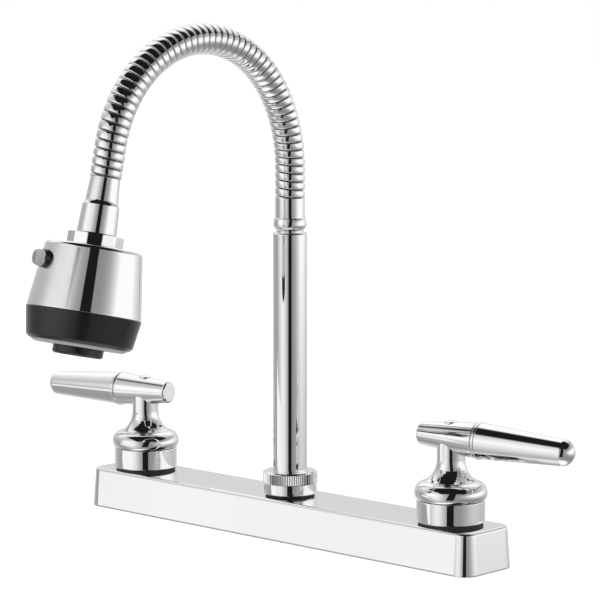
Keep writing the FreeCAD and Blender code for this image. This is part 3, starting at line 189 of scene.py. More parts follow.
def finish(name, colour, second, rough, grain, patch, bump, bump_depth, worn, metallic=0.0, stretch=None):
    """A surface: a colour that drifts to a second one in patches, a roughness that varies with the same
    patches and a finer grain, worn edges and a fine relief. Lengths and scales are in metres."""
    made = bpy.data.materials.new(name)
    made.use_nodes = True
    tree = made.node_tree
    shader = tree.nodes["Principled BSDF"]
    shader.inputs["Metallic"].default_value = metallic
    patches = noise(tree, patch, 3.0, (-900, 300))
    fine = noise(tree, grain, 4.0, (-900, 0), stretch)
    blend = node(tree, "ShaderNodeMix", (-500, 300))
    blend.data_type = "RGBA"
    tree.links.new(span(tree, patches, 0.35, 0.7, 0.0, 1.0, (-700, 300)), blend.inputs["Factor"])
    blend.inputs["A"].default_value = (*colour, 1.0)
    blend.inputs["B"].default_value = (*second, 1.0)
    mixed = node(tree, "ShaderNodeMath", (-700, 60))
    mixed.operation = "MULTIPLY_ADD"
    tree.links.new(fine, mixed.inputs[0])
    mixed.inputs[1].default_value = 0.5
    tree.links.new(span(tree, patches, 0.0, 1.0, 0.0, 0.5, (-900, 150)), mixed.inputs[2])
    roughness = span(tree, mixed.outputs["Value"], 0.3, 0.7, rough[0], rough[1], (-500, 60))
    geometry = node(tree, "ShaderNodeNewGeometry", (-1100, 600))
    edge = span(tree, geometry.outputs["Pointiness"], 0.54, 0.62, 0.0, 1.0, (-900, 600))
    rubbed = node(tree, "ShaderNodeMath", (-700, 600))
    rubbed.operation = "MULTIPLY"
    tree.links.new(edge, rubbed.inputs[0])
    tree.links.new(span(tree, fine, 0.4, 0.6, 0.2, 0.9, (-900, 450)), rubbed.inputs[1])
    over = node(tree, "ShaderNodeMix", (-300, 400))
    over.data_type = "RGBA"
    tree.links.new(rubbed.outputs["Value"], over.inputs["Factor"])
    tree.links.new(blend.outputs["Result"], over.inputs["A"])
    over.inputs["B"].default_value = (*worn, 1.0)
    tree.links.new(over.outputs["Result"], shader.inputs["Base Color"])
    tree.links.new(roughness, shader.inputs["Roughness"])
    relief = node(tree, "ShaderNodeBump", (-300, -150))
    relief.inputs["Strength"].default_value = bump
    relief.inputs["Distance"].default_value = bump_depth
    tree.links.new(fine, relief.inputs["Height"])
    tree.links.new(relief.outputs["Normal"], shader.inputs["Normal"])
    return made


CHROME = finish("chrome", (0.90, 0.905, 0.915), (0.885, 0.89, 0.90), metallic=1.0, rough=(0.02, 0.06),
                grain=1400.0, patch=38.0, bump=0.05, bump_depth=0.000004, worn=(0.80, 0.80, 0.80))
SATIN_CHROME = finish("cast_chrome", (0.90, 0.905, 0.915), (0.875, 0.88, 0.89), metallic=1.0,
                      rough=(0.05, 0.10), grain=1100.0, patch=22.0, bump=0.08, bump_depth=0.000006,
                      worn=(0.80, 0.80, 0.80))
STEEL = finish("brushed_steel", (0.62, 0.62, 0.61), (0.55, 0.55, 0.55), metallic=1.0, rough=(0.22, 0.38),
               grain=700.0, patch=60.0, bump=0.25, bump_depth=0.00002, stretch=(1.0, 1.0, 9.0),
               worn=(0.75, 0.75, 0.74))
BRASS = finish("machined_brass", (0.70, 0.50, 0.22), (0.58, 0.40, 0.17), metallic=1.0, rough=(0.2, 0.42),
               grain=500.0, patch=70.0, bump=0.3, bump_depth=0.00003, stretch=(1.0, 1.0, 12.0),
               worn=(0.85, 0.68, 0.36))
RUBBER = finish("black_rubber", (0.022, 0.022, 0.023), (0.035, 0.035, 0.036), rough=(0.5, 0.75),
                grain=1800.0, patch=90.0, bump=0.5, bump_depth=0.00004, worn=(0.06, 0.06, 0.06))
CERAMIC = finish("lapped_ceramic", (0.86, 0.85, 0.81), (0.80, 0.79, 0.75), rough=(0.12, 0.3),
                 grain=1500.0, patch=120.0, bump=0.1, bump_depth=0.00001, worn=(0.6, 0.6, 0.58))
BLACK = finish("black_plastic", (0.013, 0.013, 0.014), (0.018, 0.018, 0.019), rough=(0.16, 0.28),
               grain=2200.0, patch=80.0, bump=0.12, bump_depth=0.00001, worn=(0.05, 0.05, 0.05))
PALE = finish("pale_grey_plastic", (0.60, 0.60, 0.60), (0.55, 0.55, 0.56), rough=(0.3, 0.45),
              grain=2400.0, patch=70.0, bump=0.3, bump_depth=0.00002, worn=(0.66, 0.66, 0.66))
WHITE = finish("white_plastic", (0.80, 0.80, 0.77), (0.74, 0.74, 0.71), rough=(0.35, 0.5),
               grain=2200.0, patch=80.0, bump=0.3, bump_depth=0.00002, worn=(0.86, 0.86, 0.84))

# ---------------------------------------------------------------------------------------------
# Meshes

ARC_STEP = 7.0
ROUNDING_STEPS = 5
LEAST_BEND = 16.0
SUPPORT_NEAR, SUPPORT_LONGEST = 0.25, 6.0
SHARP_ANGLE = 35.0
ON_AXIS = 1e-6


def arc_points(start, end, radius, steps=None):
    """Points between start and end on the short arc; a plus radius turns left."""
    start, end = np.array(start, float), np.array(end, float)
    chord = end - start
    half = np.linalg.norm(chord) / 2
    rise = math.sqrt(max(radius * radius - half * half, 0.0))
    left = np.array([-chord[1], chord[0]]) / (2 * half)
    centre = (start + end) / 2 + left * math.copysign(rise, radius)
    first = math.atan2(*(start - centre)[::-1])
    last = math.atan2(*(end - centre)[::-1])
    sweep = (last - first + math.pi) % (2 * math.pi) - math.pi
    steps = steps or max(2, int(abs(math.degrees(sweep)) / ARC_STEP) + 1)
    angles = first + sweep * np.arange(1, steps) / steps
    return [centre + abs(radius) * np.array([math.cos(a), math.sin(a)]) for a in angles]


def rounded(corners, soft):
    """A closed outline as points. A corner is x, y and, where a round edge reaches it, that radius. Each
    sharp corner off the axis gets a small round of radius soft."""
    points, sharp = [], []
    for index, corner in enumerate(corners):
        before = corners[index - 1]
        if len(corner) > 2:
            between = arc_points(before[:2], corner[:2], corner[2])
            points += between
            sharp += [False] * len(between)
        points.append(np.array(corner[:2], float))
        sharp.append(True)
    count = len(points)
    out = []
    for index, point in enumerate(points):
        before, after = points[index - 1], points[(index + 1) % count]
        back, ahead = before - point, after - point
        near, far = np.linalg.norm(back), np.linalg.norm(ahead)
        back, ahead = back / near, ahead / far
        bend = math.pi - math.acos(max(-1.0, min(1.0, float(back @ ahead))))
        if not sharp[index] or bend < math.radians(LEAST_BEND) or point[0] < ON_AXIS:
            out.append(point)
            continue
        reach = min(soft * math.tan(bend / 2), near * 0.45, far * 0.45)
        radius = reach / math.tan(bend / 2)
        start, end = point + back * reach, point + ahead * reach
        left = (ahead[0] * -back[1] - ahead[1] * -back[0]) < 0
        inner = arc_points(start, end, radius if left else -radius, ROUNDING_STEPS)
        out += [start] + inner + [end]
    return supported(out)


def supported(points):
    """Adds points close to the ends of long straight edges, so that shading stays flat between them."""
    out = []
    for index, point in enumerate(points):
        out.append(point)
        after = points[(index + 1) % len(points)]
        length = np.linalg.norm(after - point)
        if length < 4 * SUPPORT_NEAR or max(point[0], after[0]) < ON_AXIS:
            continue
        inner = int(length / SUPPORT_LONGEST)
        shares = [SUPPORT_NEAR / length]
        shares += [(k + 1) / (inner + 1) for k in range(inner)]
        shares.append(1 - SUPPORT_NEAR / length)
        out += [point + (after - point) * share for share in shares]
    return out


def put(name, data):
    """A new object in the scene."""
    made = bpy.data.objects.new(name, data)
    bpy.context.scene.collection.objects.link(made)
    return made


def new_object(name, verts, faces, material, place=None):
    mesh = bpy.data.meshes.new(name)
    mesh.from_pydata([tuple(v) for v in verts], [], faces)
    mesh.transform(Matrix.Scale(MM, 4) @ (place or Matrix.Identity(4)))
    made = put(name, mesh)
    tidy_normals(made)
    made.data.materials.append(material)
    return made


def tidy_normals(made):
    """Faces outward, smooth but for sharp edges."""
    work = bmesh.new()
    work.from_mesh(made.data)
    bmesh.ops.remove_doubles(work, verts=work.verts, dist=1e-7)
    bmesh.ops.dissolve_degenerate(work, edges=work.edges, dist=1e-7)
    bmesh.ops.recalc_face_normals(work, faces=work.faces)
    work.to_mesh(made.data)
    work.free()
    smooth(made.data, SHARP_ANGLE)


def smooth(mesh, angle):
    """Smooth shading, but for edges sharper than the angle."""
    mesh.polygons.foreach_set("use_smooth", [True] * len(mesh.polygons))
    mesh.set_sharp_from_angle(angle=math.radians(angle))


def lathe(name, corners, material, place=None, segments=144, soft=0.18, radius_at=None):
    """A turned form: a closed outline of radius and height, carried round its own Z."""
    outline = [np.array(p) for p in rounded(corners, soft)]
    verts, rows = [], []
    for radius, height in outline:
        if radius < ON_AXIS:
            rows.append([len(verts)] * segments)
            verts.append((0.0, 0.0, height))
            continue
        row = []
        for step in range(segments):
            angle = 2 * math.pi * step / segments
            reach = radius if radius_at is None else radius_at(radius, height, angle)
            row.append(len(verts))
            verts.append((reach * math.cos(angle), reach * math.sin(angle), height))
        rows.append(row)
    faces = []
    for index, row in enumerate(rows):
        other = rows[(index + 1) % len(rows)]
        if row[0] == row[1] and other[0] == other[1]:
            continue
        for step in range(segments):
            after = (step + 1) % segments
            corners_of = [row[step], row[after], other[after], other[step]]
            face = [v for k, v in enumerate(corners_of) if v not in corners_of[:k]]
            if len(face) > 2:
                faces.append(face)
    return new_object(name, verts, faces, material, place)


def join(main, *others):
    """Others become islands of main's mesh."""
    work = bmesh.new()
    work.from_mesh(main.data)
    for other in others:
        work.from_mesh(other.data)
    work.to_mesh(main.data)
    work.free()
    for other in others:
        bpy.data.objects.remove(other)
    return main


def carve(target, tool):
    """Cuts tool out of target and drops it."""
    cut = target.modifiers.new("cut", "BOOLEAN")
    cut.operation = "DIFFERENCE"
    cut.solver = "EXACT"
    cut.object = tool
    bpy.context.view_layer.update()
    graph = bpy.context.evaluated_depsgraph_get()
    mesh = bpy.data.meshes.new_from_object(target.evaluated_get(graph))
    target.modifiers.clear()
    target.data = mesh
    bpy.data.objects.remove(tool)
    smooth(mesh, SHARP_ANGLE)


def bore(target, radius, low, high, place, segments=96, soft=0.02):
    """Cuts a round hole out of target, from low to high along the place's own Z."""
    outline = [(0, low), (radius, low), (radius, high), (0, high)]
    carve(target, lathe("drill", outline, target.data.materials[0], place, segments, soft))


def dress(piece, body, slot, *nodes):
    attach(piece, body)
    if nodes:
        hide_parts(*nodes)
    return piece


# ---------------------------------------------------------------------------------------------
# Deck

DECK_LENGTH, DECK_WIDTH, DECK_CORNER = 253.0, 36.5, 8.0
DECK_DRAFT = 4.3
DECK_EDGE = 1.2
DECK_WALL, DECK_TOP_WALL = 2.4, 2.6
DECK_HOLES = [(-HANDLE_X, 10.3), (0.0, 10.6), (HANDLE_X, 10.3)]
HOLE_LOW, HOLE_HIGH = 10, 25
SIDE_NEAR, SIDE_STEP = 0.5, 14.0
CORNER_STEPS, EDGE_STEPS = 14, 8


def rounded_rectangle(half_length, half_width, corner, height):
    """One level of the deck, with close points beside each corner."""
    points = []
    flats = [
        ((half_length, -half_width + corner), (half_length, half_width - corner), 0),
        ((half_length - corner, half_width), (-half_length + corner, half_width), 90),
        ((-half_length, half_width - corner), (-half_length, -half_width + corner), 180),
        ((-half_length + corner, -half_width), (half_length - corner, -half_width), 270),
    ]
    for start, end, angle in flats:
        start, end = np.array(start), np.array(end)
        length = np.linalg.norm(end - start)
        inner = int(length / SIDE_STEP)
        shares = [0.0, SIDE_NEAR / length]
        shares += [(k + 1) / (inner + 1) for k in range(inner)]
        shares += [1 - SIDE_NEAR / length, 1.0]
        points += [start + (end - start) * share for share in shares]
        first = math.radians(angle)
        centre = end - corner * np.array([math.cos(first), math.sin(first)])
        for step in range(1, CORNER_STEPS):
            a = first + math.pi / 2 * step / CORNER_STEPS
            points.append(centre + corner * np.array([math.cos(a), math.sin(a)]))
    return [(x, y, height) for x, y in points]


def deck_level(height, inset=0.0, wall=0.0):
    back = math.tan(math.radians(DECK_DRAFT)) * height + inset + wall
    return rounded_rectangle(DECK_LENGTH / 2 - back, DECK_WIDTH / 2 - back, DECK_CORNER - back, height)


def deck_outside():
    """Levels over the foot's small round, up the drafted side and round the edge on to the top."""
    side_top = DECK_TOP - DECK_EDGE
    levels = [deck_level(0.0, 0.25), deck_level(0.1, 0.07)]
    levels += [deck_level(height) for height in (0.3, 1.0, 6.0, 12.0, side_top - 0.6, side_top - 0.3)]
    for step in range(EDGE_STEPS + 1):
        a = math.pi / 2 * step / EDGE_STEPS
        levels.append(deck_level(side_top + DECK_EDGE * math.sin(a), DECK_EDGE * (1 - math.cos(a))))
    return levels + [deck_level(DECK_TOP, DECK_EDGE + 0.3), deck_level(DECK_TOP, DECK_EDGE + 0.8)]


def deck_inside():
    """Levels from the eased rim up to the ceiling."""
    ceiling = DECK_TOP - DECK_TOP_WALL
    levels = [deck_level(0.0, wall=DECK_WALL - 0.2)]
    levels += [deck_level(height, wall=DECK_WALL) for height in (0.25, 8.0, ceiling - 0.5)]
    return levels + [deck_level(ceiling, wall=DECK_WALL + 0.3)]


def deck():
    outside, inside = deck_outside(), deck_inside()
    count = len(outside[0])
    verts = [point for level in outside + inside for point in level]
    faces = []

    def skin(low, high):
        for k in range(count):
            after = (k + 1) % count
            faces.append([low * count + k, low * count + after, high * count + after, high * count + k])

    def lid(level):
        return [level * count + k for k in range(count)]

    base = len(outside)
    ceiling = base + len(inside) - 1
    for level in range(base - 1):
        skin(level, level + 1)
    faces.append(lid(base - 1))
    skin(0, base)
    for level in range(base, ceiling):
        skin(level, level + 1)
    faces.append(lid(ceiling)[::-1])
    made = new_object("deck_cover_shell", verts, faces, SATIN_CHROME)
    for x, radius in DECK_HOLES:
        bore(made, radius, HOLE_LOW, HOLE_HIGH, shift(x), soft=0.05)
    dress(made, "deck", "chrome", "deck_cover")


deck()

# ---------------------------------------------------------------------------------------------
# Escutcheons and handles

ESCUTCHEON = [(14.5, 21.05), (16.0, 21.05), (16.0, 31.2), (10.15, 31.2), (10.15, 29.7), (14.5, 29.7)]


def bell_outline():
    rim = HANDLE_RIM
    return [
        (13.2, rim), (16.2, rim), (17.05, rim + 2.55, 4.25), (13.0, rim + 7.9, 5.2), (12.2, rim + 8.05),
        (11.7, rim + 8.4, 0.5), (6.7, rim + 17.95, -12.0), (6.7, BAR_HEIGHT), (0, BAR_HEIGHT), (0, 51.0),
        (3.95, 51.0), (3.95, rim + 7.9), (5.28, rim + 5.9), (13.2, rim + 5.9),
    ]


BAR = [(0, -16.3), (0, 25.4), (4.0, 25.4), (4.0, 14.4), (8.5, 14.4), (5.7, -15.3), (4.6, -16.3, 1.05)]
COLLAR = [(4.05, 14.4), (4.05, 16.3), (8.8, 16.3), (8.8, 15.0), (8.0, 15.0), (8.0, 14.4)]
TIP_RADIUS, TIP_RISE = 6.25, 4.7
TIP_DOME = (TIP_RADIUS ** 2 + TIP_RISE ** 2) / (2 * TIP_RISE)
LEVER = [(0, 25.7), (4.05, 25.7), (4.05, 16.3), (8.6, 16.3), (TIP_RADIUS, 59.2), (0, 63.9, TIP_DOME)]
CAP_DOME = 12.603
CAP = [(0, 62.5), (3.15, 62.5), (3.15, 67.35), (0, 67.75, CAP_DOME)]


def handles():
    for side, spot in SIDES.items():
        body = spot["body"]
        cup = lathe(f"{side}_escutcheon_cup", ESCUTCHEON, CHROME, shift(spot["x"]), soft=0.4)
        dress(cup, "deck", "chrome", f"{side}_escutcheon")
        bell = lathe(f"{side}_handle_casting", bell_outline(), CHROME, stand_place(side), soft=0.25)
        bar = lathe("bar", BAR, CHROME, bar_place(side), soft=0.3)
        join(bell, bar)
        dress(bell, body, "chrome", f"{side}_handle")
        collar = lathe(f"{side}_lever_ring", COLLAR, CHROME, bar_place(side), soft=0.25)
        dress(collar, body, "chrome", f"{side}_lever_collar")
        grip = lathe(f"{side}_lever_grip", LEVER, CHROME, bar_place(side), soft=0.25)
        dress(grip, body, "chrome", f"{side}_lever")
        cap = lathe(f"{side}_cap", CAP, CHROME, stand_place(side), 96, soft=0.3)
        dress(cap, body, "chrome", f"{side}_index_cap")


handles()

# ---------------------------------------------------------------------------------------------
# Spout nut, tube and ferrule

KNURLS = 72
KNURL_FOOT, KNURL_TOP, KNURL_DEPTH = 26.2, 31.1, 0.45
KNURL_CORE, KNURL_SHARPNESS = 13.1, 1.3
KNURL_POINTS = 8
SEAT_TOP = 20.6
SPOUT_NUT = [
    (10.46, SEAT_TOP), (12.55, SEAT_TOP), (13.05, 21.1), (13.05, 26.0), (13.4, 26.25), (13.4, 30.85),
    (13.15, 31.15), (12.6, 31.2), (12.15, 31.7), (8.43, 31.7), (8.43, 29.6), (10.46, 29.6),
]
SPOUT_SEAT = [(10.6, DECK_TOP), (11.9, DECK_TOP), (11.9, SEAT_TOP), (10.6, SEAT_TOP)]
TUBE_TOP = 148.0
SPOUT_TUBE = [(7.2, 29.55), (8.35, 29.55), (8.35, TUBE_TOP - 1.0), (7.35, TUBE_TOP, 1.0), (7.2, TUBE_TOP)]
HOSE_FERRULE = [
    (3.9, TUBE_TOP - 10), (7.15, TUBE_TOP - 10), (7.15, TUBE_TOP), (6.6, TUBE_TOP), (6.6, TUBE_TOP + 1.1),
    (8.1, TUBE_TOP + 4.2, 3.2), (7.62, TUBE_TOP + 6.9, 9.0), (7.25, TUBE_TOP + 7.05), (7.25, HOSE_FOOT),
    (5.4, HOSE_FOOT), (5.4, HOSE_FOOT + 5.5), (3.9, HOSE_FOOT + 5.5),
]


def knurled(radius, height, angle):
    """Straight V cuts round the band of the nut."""
    if radius < KNURL_CORE or not KNURL_FOOT < height < KNURL_TOP:
        return radius
    wave = abs((angle * KNURLS / (2 * math.pi)) % 1.0 - 0.5) * 2
    return radius - KNURL_DEPTH * (1 - wave) ** KNURL_SHARPNESS


def spout():
    nut = lathe("spout_nut_knurled", SPOUT_NUT, CHROME, segments=KNURLS * KNURL_POINTS, soft=0.15,
                radius_at=knurled)
    dress(nut, "deck", "chrome", "spout_nut")
    dress(lathe("spout_seat_rubber", SPOUT_SEAT, RUBBER, soft=0.1), "deck", "rubber", "spout_seat_gasket")
    tube = lathe("spout_tube_chrome", SPOUT_TUBE, CHROME, segments=192, soft=0.4)
    dress(tube, "spout", "chrome", "spout_tube")
    ferrule = lathe("hose_ferrule_turned", HOSE_FERRULE, CHROME, segments=192)
    dress(ferrule, "spout", "chrome", "hose_ferrule")


spout()

# ---------------------------------------------------------------------------------------------
# Hose

# Place along one turn of the strip and the radius there: a fine groove, a rolled edge and a full back
BAND = [(0.0, 6.1), (0.045, 6.1), (0.05, 6.85), (0.065, 7.0), (0.10, 7.11), (0.16, 7.18), (0.3, 7.23),
        (0.5, 7.25), (0.7, 7.23), (0.85, 7.17), (0.905, 7.1), (0.935, 7.0), (0.95, 6.85), (0.955, 6.1)]
# A black strip at the foot of the groove, painted shade: it keeps the groove dark where the chrome would
# reflect bright light
GROOVE_SHADE_BAND = [(0.0, 6.3), (0.5, 6.3)]
BRAID = [(0.0, 4.85), (0.25, 4.93), (0.5, 5.0), (0.75, 4.93)]
BRAID_TURNS, BRAID_MARGIN = 150, 6.0
# Square metres, below which a face was squeezed flat by the trim
LEAST_AREA = 1e-13


def wound_tube(name, band, turns, around, material, margin=0.0):
    """A strip wound right-handed along the route and trimmed square at both ends."""
    pitch = (HOSE_LENGTH - 2 * margin) / turns
    rows = []
    for number in range(-1, turns + 1):
        rows += [(number + place, radius) for place, radius in band]
    verts, faces = [], []
    for place, radius in rows:
        for step in range(around):
            angle = 2 * math.pi * step / around
            distance = (place + step / around) * pitch + margin
            distance = min(max(distance, margin), HOSE_LENGTH - margin)
            verts.append(route_point(distance, radius, angle))
    for row in range(len(rows) - 1):
        for step in range(around):
            after = (step + 1) % around
            # The far side of the seam is one whole turn further on
            jump = len(band) if after == 0 else 0
            first, second = row * around, (row + 1) * around
            if row + 1 + jump > len(rows) - 1 and jump:
                continue
            faces.append([first + step, (row + jump) * around + after, (row + 1 + jump) * around + after,
                          second + step])
    made = new_object(name, verts, faces, material)
    work = bmesh.new()
    work.from_mesh(made.data)
    flat = [face for face in work.faces if face.calc_area() < LEAST_AREA]
    bmesh.ops.delete(work, geom=flat, context="FACES")
    loose = [vert for vert in work.verts if not vert.link_faces]
    bmesh.ops.delete(work, geom=loose, context="VERTS")
    work.to_mesh(made.data)
    work.free()
    return made


def route_point(distance, radius, angle):
    """A point on a ring across the route; the angle runs right-handed from +X."""
    point, heading = route_at(distance)
    heading = math.radians(heading)
    side = (-math.sin(heading), math.cos(heading))
    return (
        radius * math.cos(angle),
        point[0] + radius * math.sin(angle) * side[0],
        point[1] + radius * math.sin(angle) * side[1],
    )


def hose():
    outer = wound_tube("gooseneck", BAND, HOSE_TURNS, 96, CHROME)
    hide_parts("gooseneck_hose")
    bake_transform(outer)
    # Painted shade: a black strip wound into the groove's foot darkens the groove
    groove_shade = wound_tube("gooseneck_groove_shade", GROOVE_SHADE_BAND, HOSE_TURNS, 48, RUBBER)
    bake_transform(groove_shade)
    inner = wound_tube("water_tube", BRAID, BRAID_TURNS, 48, WHITE, BRAID_MARGIN)
    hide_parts("inner_hose")
    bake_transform(inner)


hose()

# ---------------------------------------------------------------------------------------------
# Spray head

FERRULE = [
    (3.9, 44.4), (8.8, 44.4), (8.8, 46.3), (7.4, 46.3), (7.4, 54.0), (9.1, 54.0), (8.45, 66.9),
    (7.5, 69.2, -3.6), (6.75, 79.5), (5.4, 79.5), (5.4, 85.0), (3.9, 85.0),
]
NUT_ACROSS, NUT_SIDES = 25.2, 12
NUT_FOOT, NUT_TOP = 48.5, 53.7
NUT_CROWN, NUT_CROWN_FALL, NUT_SOFTNESS = 12.9, 2.5, 0.06
NUT_BORE, NUT_BLANK = 7.48, 13.0
NUT_SKIRT = [
    (8.88, 42.9), (11.0, 42.9), (11.0, 48.2), (12.4, 48.2), (12.4, 48.7), (NUT_BORE, 48.7), (NUT_BORE, 46.45),
    (8.88, 46.45),
]
SHELL = [
    (11.1, 46.4), (20.0, 46.4), (20.4, 46.0), (24.25, 18.0), (26.05, 18.0), (22.2, 46.0), (20.0, 48.2, 2.2),
    (11.1, 48.2),
]
BANDING = [
    (22.0, 4.2), (22.8, 4.2), (24.1, 5.5), (26.15, 18.0), (23.95, 18.0), (23.4, 21.6), (22.0, 21.6),
    (22.55, 8.25), (22.0, 8.25),
]
PLATE = [(11.6, 2.8), (19.9, 2.8), (21.7, 3.7), (21.7, 8.3), (22.4, 8.3), (22.4, 9.5), (11.6, 9.5)]
NOZZLE = [(9.1, -1.1), (10.7, -1.1), (11.5, -0.3), (11.5, 9.55), (12.4, 9.55), (12.4, 10.55), (9.1, 10.55)]


JETS, JET_RING, JET_RADIUS = 16, 17.2, 0.75
BUTTON_HOLE = 4.23


def flatted(radius, height, angle):
    """Twelve narrow flats, their corners eased under the top. The bore stays round."""
    if radius < (NUT_BORE + NUT_BLANK) / 2:
        return radius
    sector = 2 * math.pi / NUT_SIDES
    half = NUT_ACROSS / 2
    flat = half / math.cos(angle % sector - sector / 2)
    corner = half / math.cos(sector / 2)
    crown = NUT_CROWN + (NUT_TOP - height) * (corner + 1 - NUT_CROWN) / NUT_CROWN_FALL
    limit = min(flat, crown)
    overlap = sum(math.exp(-(v - limit) / NUT_SOFTNESS) for v in (flat, crown))
    return limit - NUT_SOFTNESS * math.log(overlap) - (NUT_BLANK - radius)


def head_nut():
    rows = [(NUT_BORE, NUT_FOOT), (NUT_BLANK, NUT_FOOT), (NUT_BLANK, NUT_TOP), (NUT_BORE, NUT_TOP)]
    outer = lathe("head_nut_flats", rows, CHROME, HEAD, 360, 0.2, radius_at=flatted)
    join(outer, lathe("skirt", NUT_SKIRT, CHROME, HEAD))
    dress(outer, "spray_head", "chrome", "head_nut")


def spray_plate():
    plate = lathe("spray_face", PLATE, PALE, HEAD, 192, 0.3)
    for number in range(JETS):
        spot = HEAD @ turn(360.0 / JETS * number, "Z") @ shift(JET_RING)
        bore(plate, JET_RADIUS, 1, 11, spot, segments=24)
    dress(plate, "spray_head", "grey_plastic", "spray_plate")


def spray_head():
    dress(lathe("head_neck", FERRULE, CHROME, HEAD, 192, 0.2), "hose_end", "chrome", "head_ferrule")
    head_nut()
    shell = lathe("head_shell_chrome", SHELL, CHROME, HEAD, 192, 0.3)
    bore(shell, BUTTON_HOLE, -32, 32, DIVERTER)
    dress(shell, "spray_head", "chrome", "head_shell")
    band = lathe("head_band_black", BANDING, BLACK, HEAD, 192, 0.3)
    dress(band, "spray_head", "black_plastic", "head_band")
    spray_plate()
    dress(lathe("nozzle_ring", NOZZLE, BLACK, HEAD, 192, 0.3), "spray_head", "black_plastic", "nozzle")


spray_head()

# ---------------------------------------------------------------------------------------------
# Diverter's button and plug

BUTTON = [(0, 24.6), (0, 25.6), (3.55, 25.6), (4.15, 24.9), (4.15, 21.3), (1.65, 21.3), (1.65, 24.6)]
PLUG = [(0, -24.0), (0, -20.5), (1.65, -20.5), (1.65, -17.2), (4.15, -17.2), (4.15, -23.3), (3.45, -24.0)]
PAD_INNER, PAD_RADIUS, PAD_LOW, PAD_RISE = 0.8, 3.95, 25.2, 3.2
PAD_DOME, PAD_SUNK = 0.38, 0.6
PAD_SIDE_GAP, PAD_END_GAP = 0.25, 0.1
PAD_RIM_FALL, PAD_CHANNEL_FALL, PAD_CHANNEL_LIP = 0.9, 0.35, 0.12
PAD_CHANNEL_STEPS, PAD_RIB_STEPS = 22, 40
RIB_HEIGHT, RIB_PITCH = 0.2, 1.1


def pad_height(across, over):
    """A ribbed dome that falls off towards its rim and the channel."""
    out = math.hypot(across, over)
    rim_fall = (PAD_RADIUS - out) / PAD_RIM_FALL
    channel_fall = (across - PAD_INNER + PAD_CHANNEL_LIP) / PAD_CHANNEL_FALL
    fall = max(min(1.0, rim_fall, channel_fall), 0.0)
    dome = PAD_DOME * (1 - (out / PAD_RADIUS) ** 2)
    rib = RIB_HEIGHT * math.sin(over * 2 * math.pi / RIB_PITCH)
    return PAD_LOW + PAD_RISE * fall ** 0.5 + dome + rib * fall


def pad(sign):
    """One ribbed half of the button's face, beside the channel."""
    verts, faces = [], []
    steps, row = PAD_CHANNEL_STEPS, PAD_RIB_STEPS + 1
    for i in range(steps + 1):
        across = PAD_INNER + (PAD_RADIUS - PAD_SIDE_GAP - PAD_INNER) * i / steps
        half = math.sqrt(max(PAD_RADIUS ** 2 - across ** 2, 0.0)) - PAD_END_GAP
        for j in range(row):
            over = -half + 2 * half * j / PAD_RIB_STEPS
            verts.append((over, sign * across, pad_height(across, over)))
    base = len(verts)
    verts += [(x, y, PAD_LOW - PAD_SUNK) for x, y, _ in verts]
    for i in range(steps):
        for j in range(row - 1):
            a = i * row + j
            faces.append([a, a + 1, a + row + 1, a + row])
            faces.append([base + a, base + a + row, base + a + row + 1, base + a + 1])
    rim = list(range(row)) + [i * row + row - 1 for i in range(1, steps + 1)]
    rim += [steps * row + j for j in range(row - 2, -1, -1)] + [i * row for i in range(steps - 1, 0, -1)]
    for k, a in enumerate(rim):
        b = rim[(k + 1) % len(rim)]
        faces.append([a, b, base + b, base + a])
    return new_object(f"pad{sign}", verts, faces, PALE, DIVERTER)


def diverter():
    button = lathe("button_stem", BUTTON, BLACK, DIVERTER, 96, 0.25)
    dress(button, "diverter", "black_plastic", "diverter_button")
    pads = join(pad(1), pad(-1))
    pads.name = "button_pads"
    dress(pads, "diverter", "grey_plastic")
    plug = lathe("diverter_cap", PLUG, BLACK, DIVERTER, 96, 0.25)
    dress(plug, "diverter", "black_plastic", "diverter_plug")


diverter()

# ---------------------------------------------------------------------------------------------
# Hidden pieces keep their solids and get their own finish

NODE_SHARP_ANGLE = 30.0
FINISHES = {
    "chrome": CHROME,
    "steel": STEEL,
    "brass": BRASS,
    "rubber": RUBBER,
    "ceramic": CERAMIC,
    "white_plastic": WHITE,
    "black_plastic": BLACK,
    "grey_plastic": PALE,
}


def finish_nodes():
    """Each solid kept from the frame gets the finish of its slot, or else one after its name."""
    for name, item in NODES.items():
        own = item.data.materials[0].name.split(".")[0] if item.data.materials else ""
        chosen = FINISHES.get(own) or by_name(name)
        item.data.materials.clear()
        item.data.materials.append(chosen)
        smooth(item.data, NODE_SHARP_ANGLE)


def by_name(name):
    if "gasket" in name or "seal" in name or "washer" in name:
        return RUBBER
    if "disc" in name:
        return CERAMIC
    if "aerator" in name or "core" in name or "spool" in name:
        return WHITE
    if "screw" in name or "retaining" in name:
        return STEEL
    return BRASS


finish_nodes()

# ---------------------------------------------------------------------------------------------
# Studio

CAMERA_SPOT = Vector((0.8702, -0.9271, 0.2696))
CAMERA_TURN = 42.97
CAMERA_DROP = 6.93
LENS, SENSOR = 159.0, 36.0


def camera():
    data = bpy.data.cameras.new("view")
    data.lens, data.sensor_width = LENS, SENSOR
    data.clip_end = 50.0
    made = put("view", data)
    made.location = CAMERA_SPOT
    made.rotation_euler = (math.radians(90 - CAMERA_DROP), 0.0, math.radians(CAMERA_TURN))
    bpy.context.scene.camera = made


def glossy_only(item):
    item.visible_camera = False
    item.visible_diffuse = False
    item.visible_transmission = False
    item.visible_volume_scatter = False
    item.visible_shadow = False


def emission(name, strength):
    made = bpy.data.materials.new(name)
    made.use_nodes = True
    tree = made.node_tree
    tree.nodes.clear()
    light = tree.nodes.new("ShaderNodeEmission")
    out = tree.nodes.new("ShaderNodeOutputMaterial")
    light.inputs["Strength"].default_value = strength
    tree.links.new(light.outputs["Emission"], out.inputs["Surface"])
    made.cycles.emission_sampling = "NONE"
    return made, tree, light


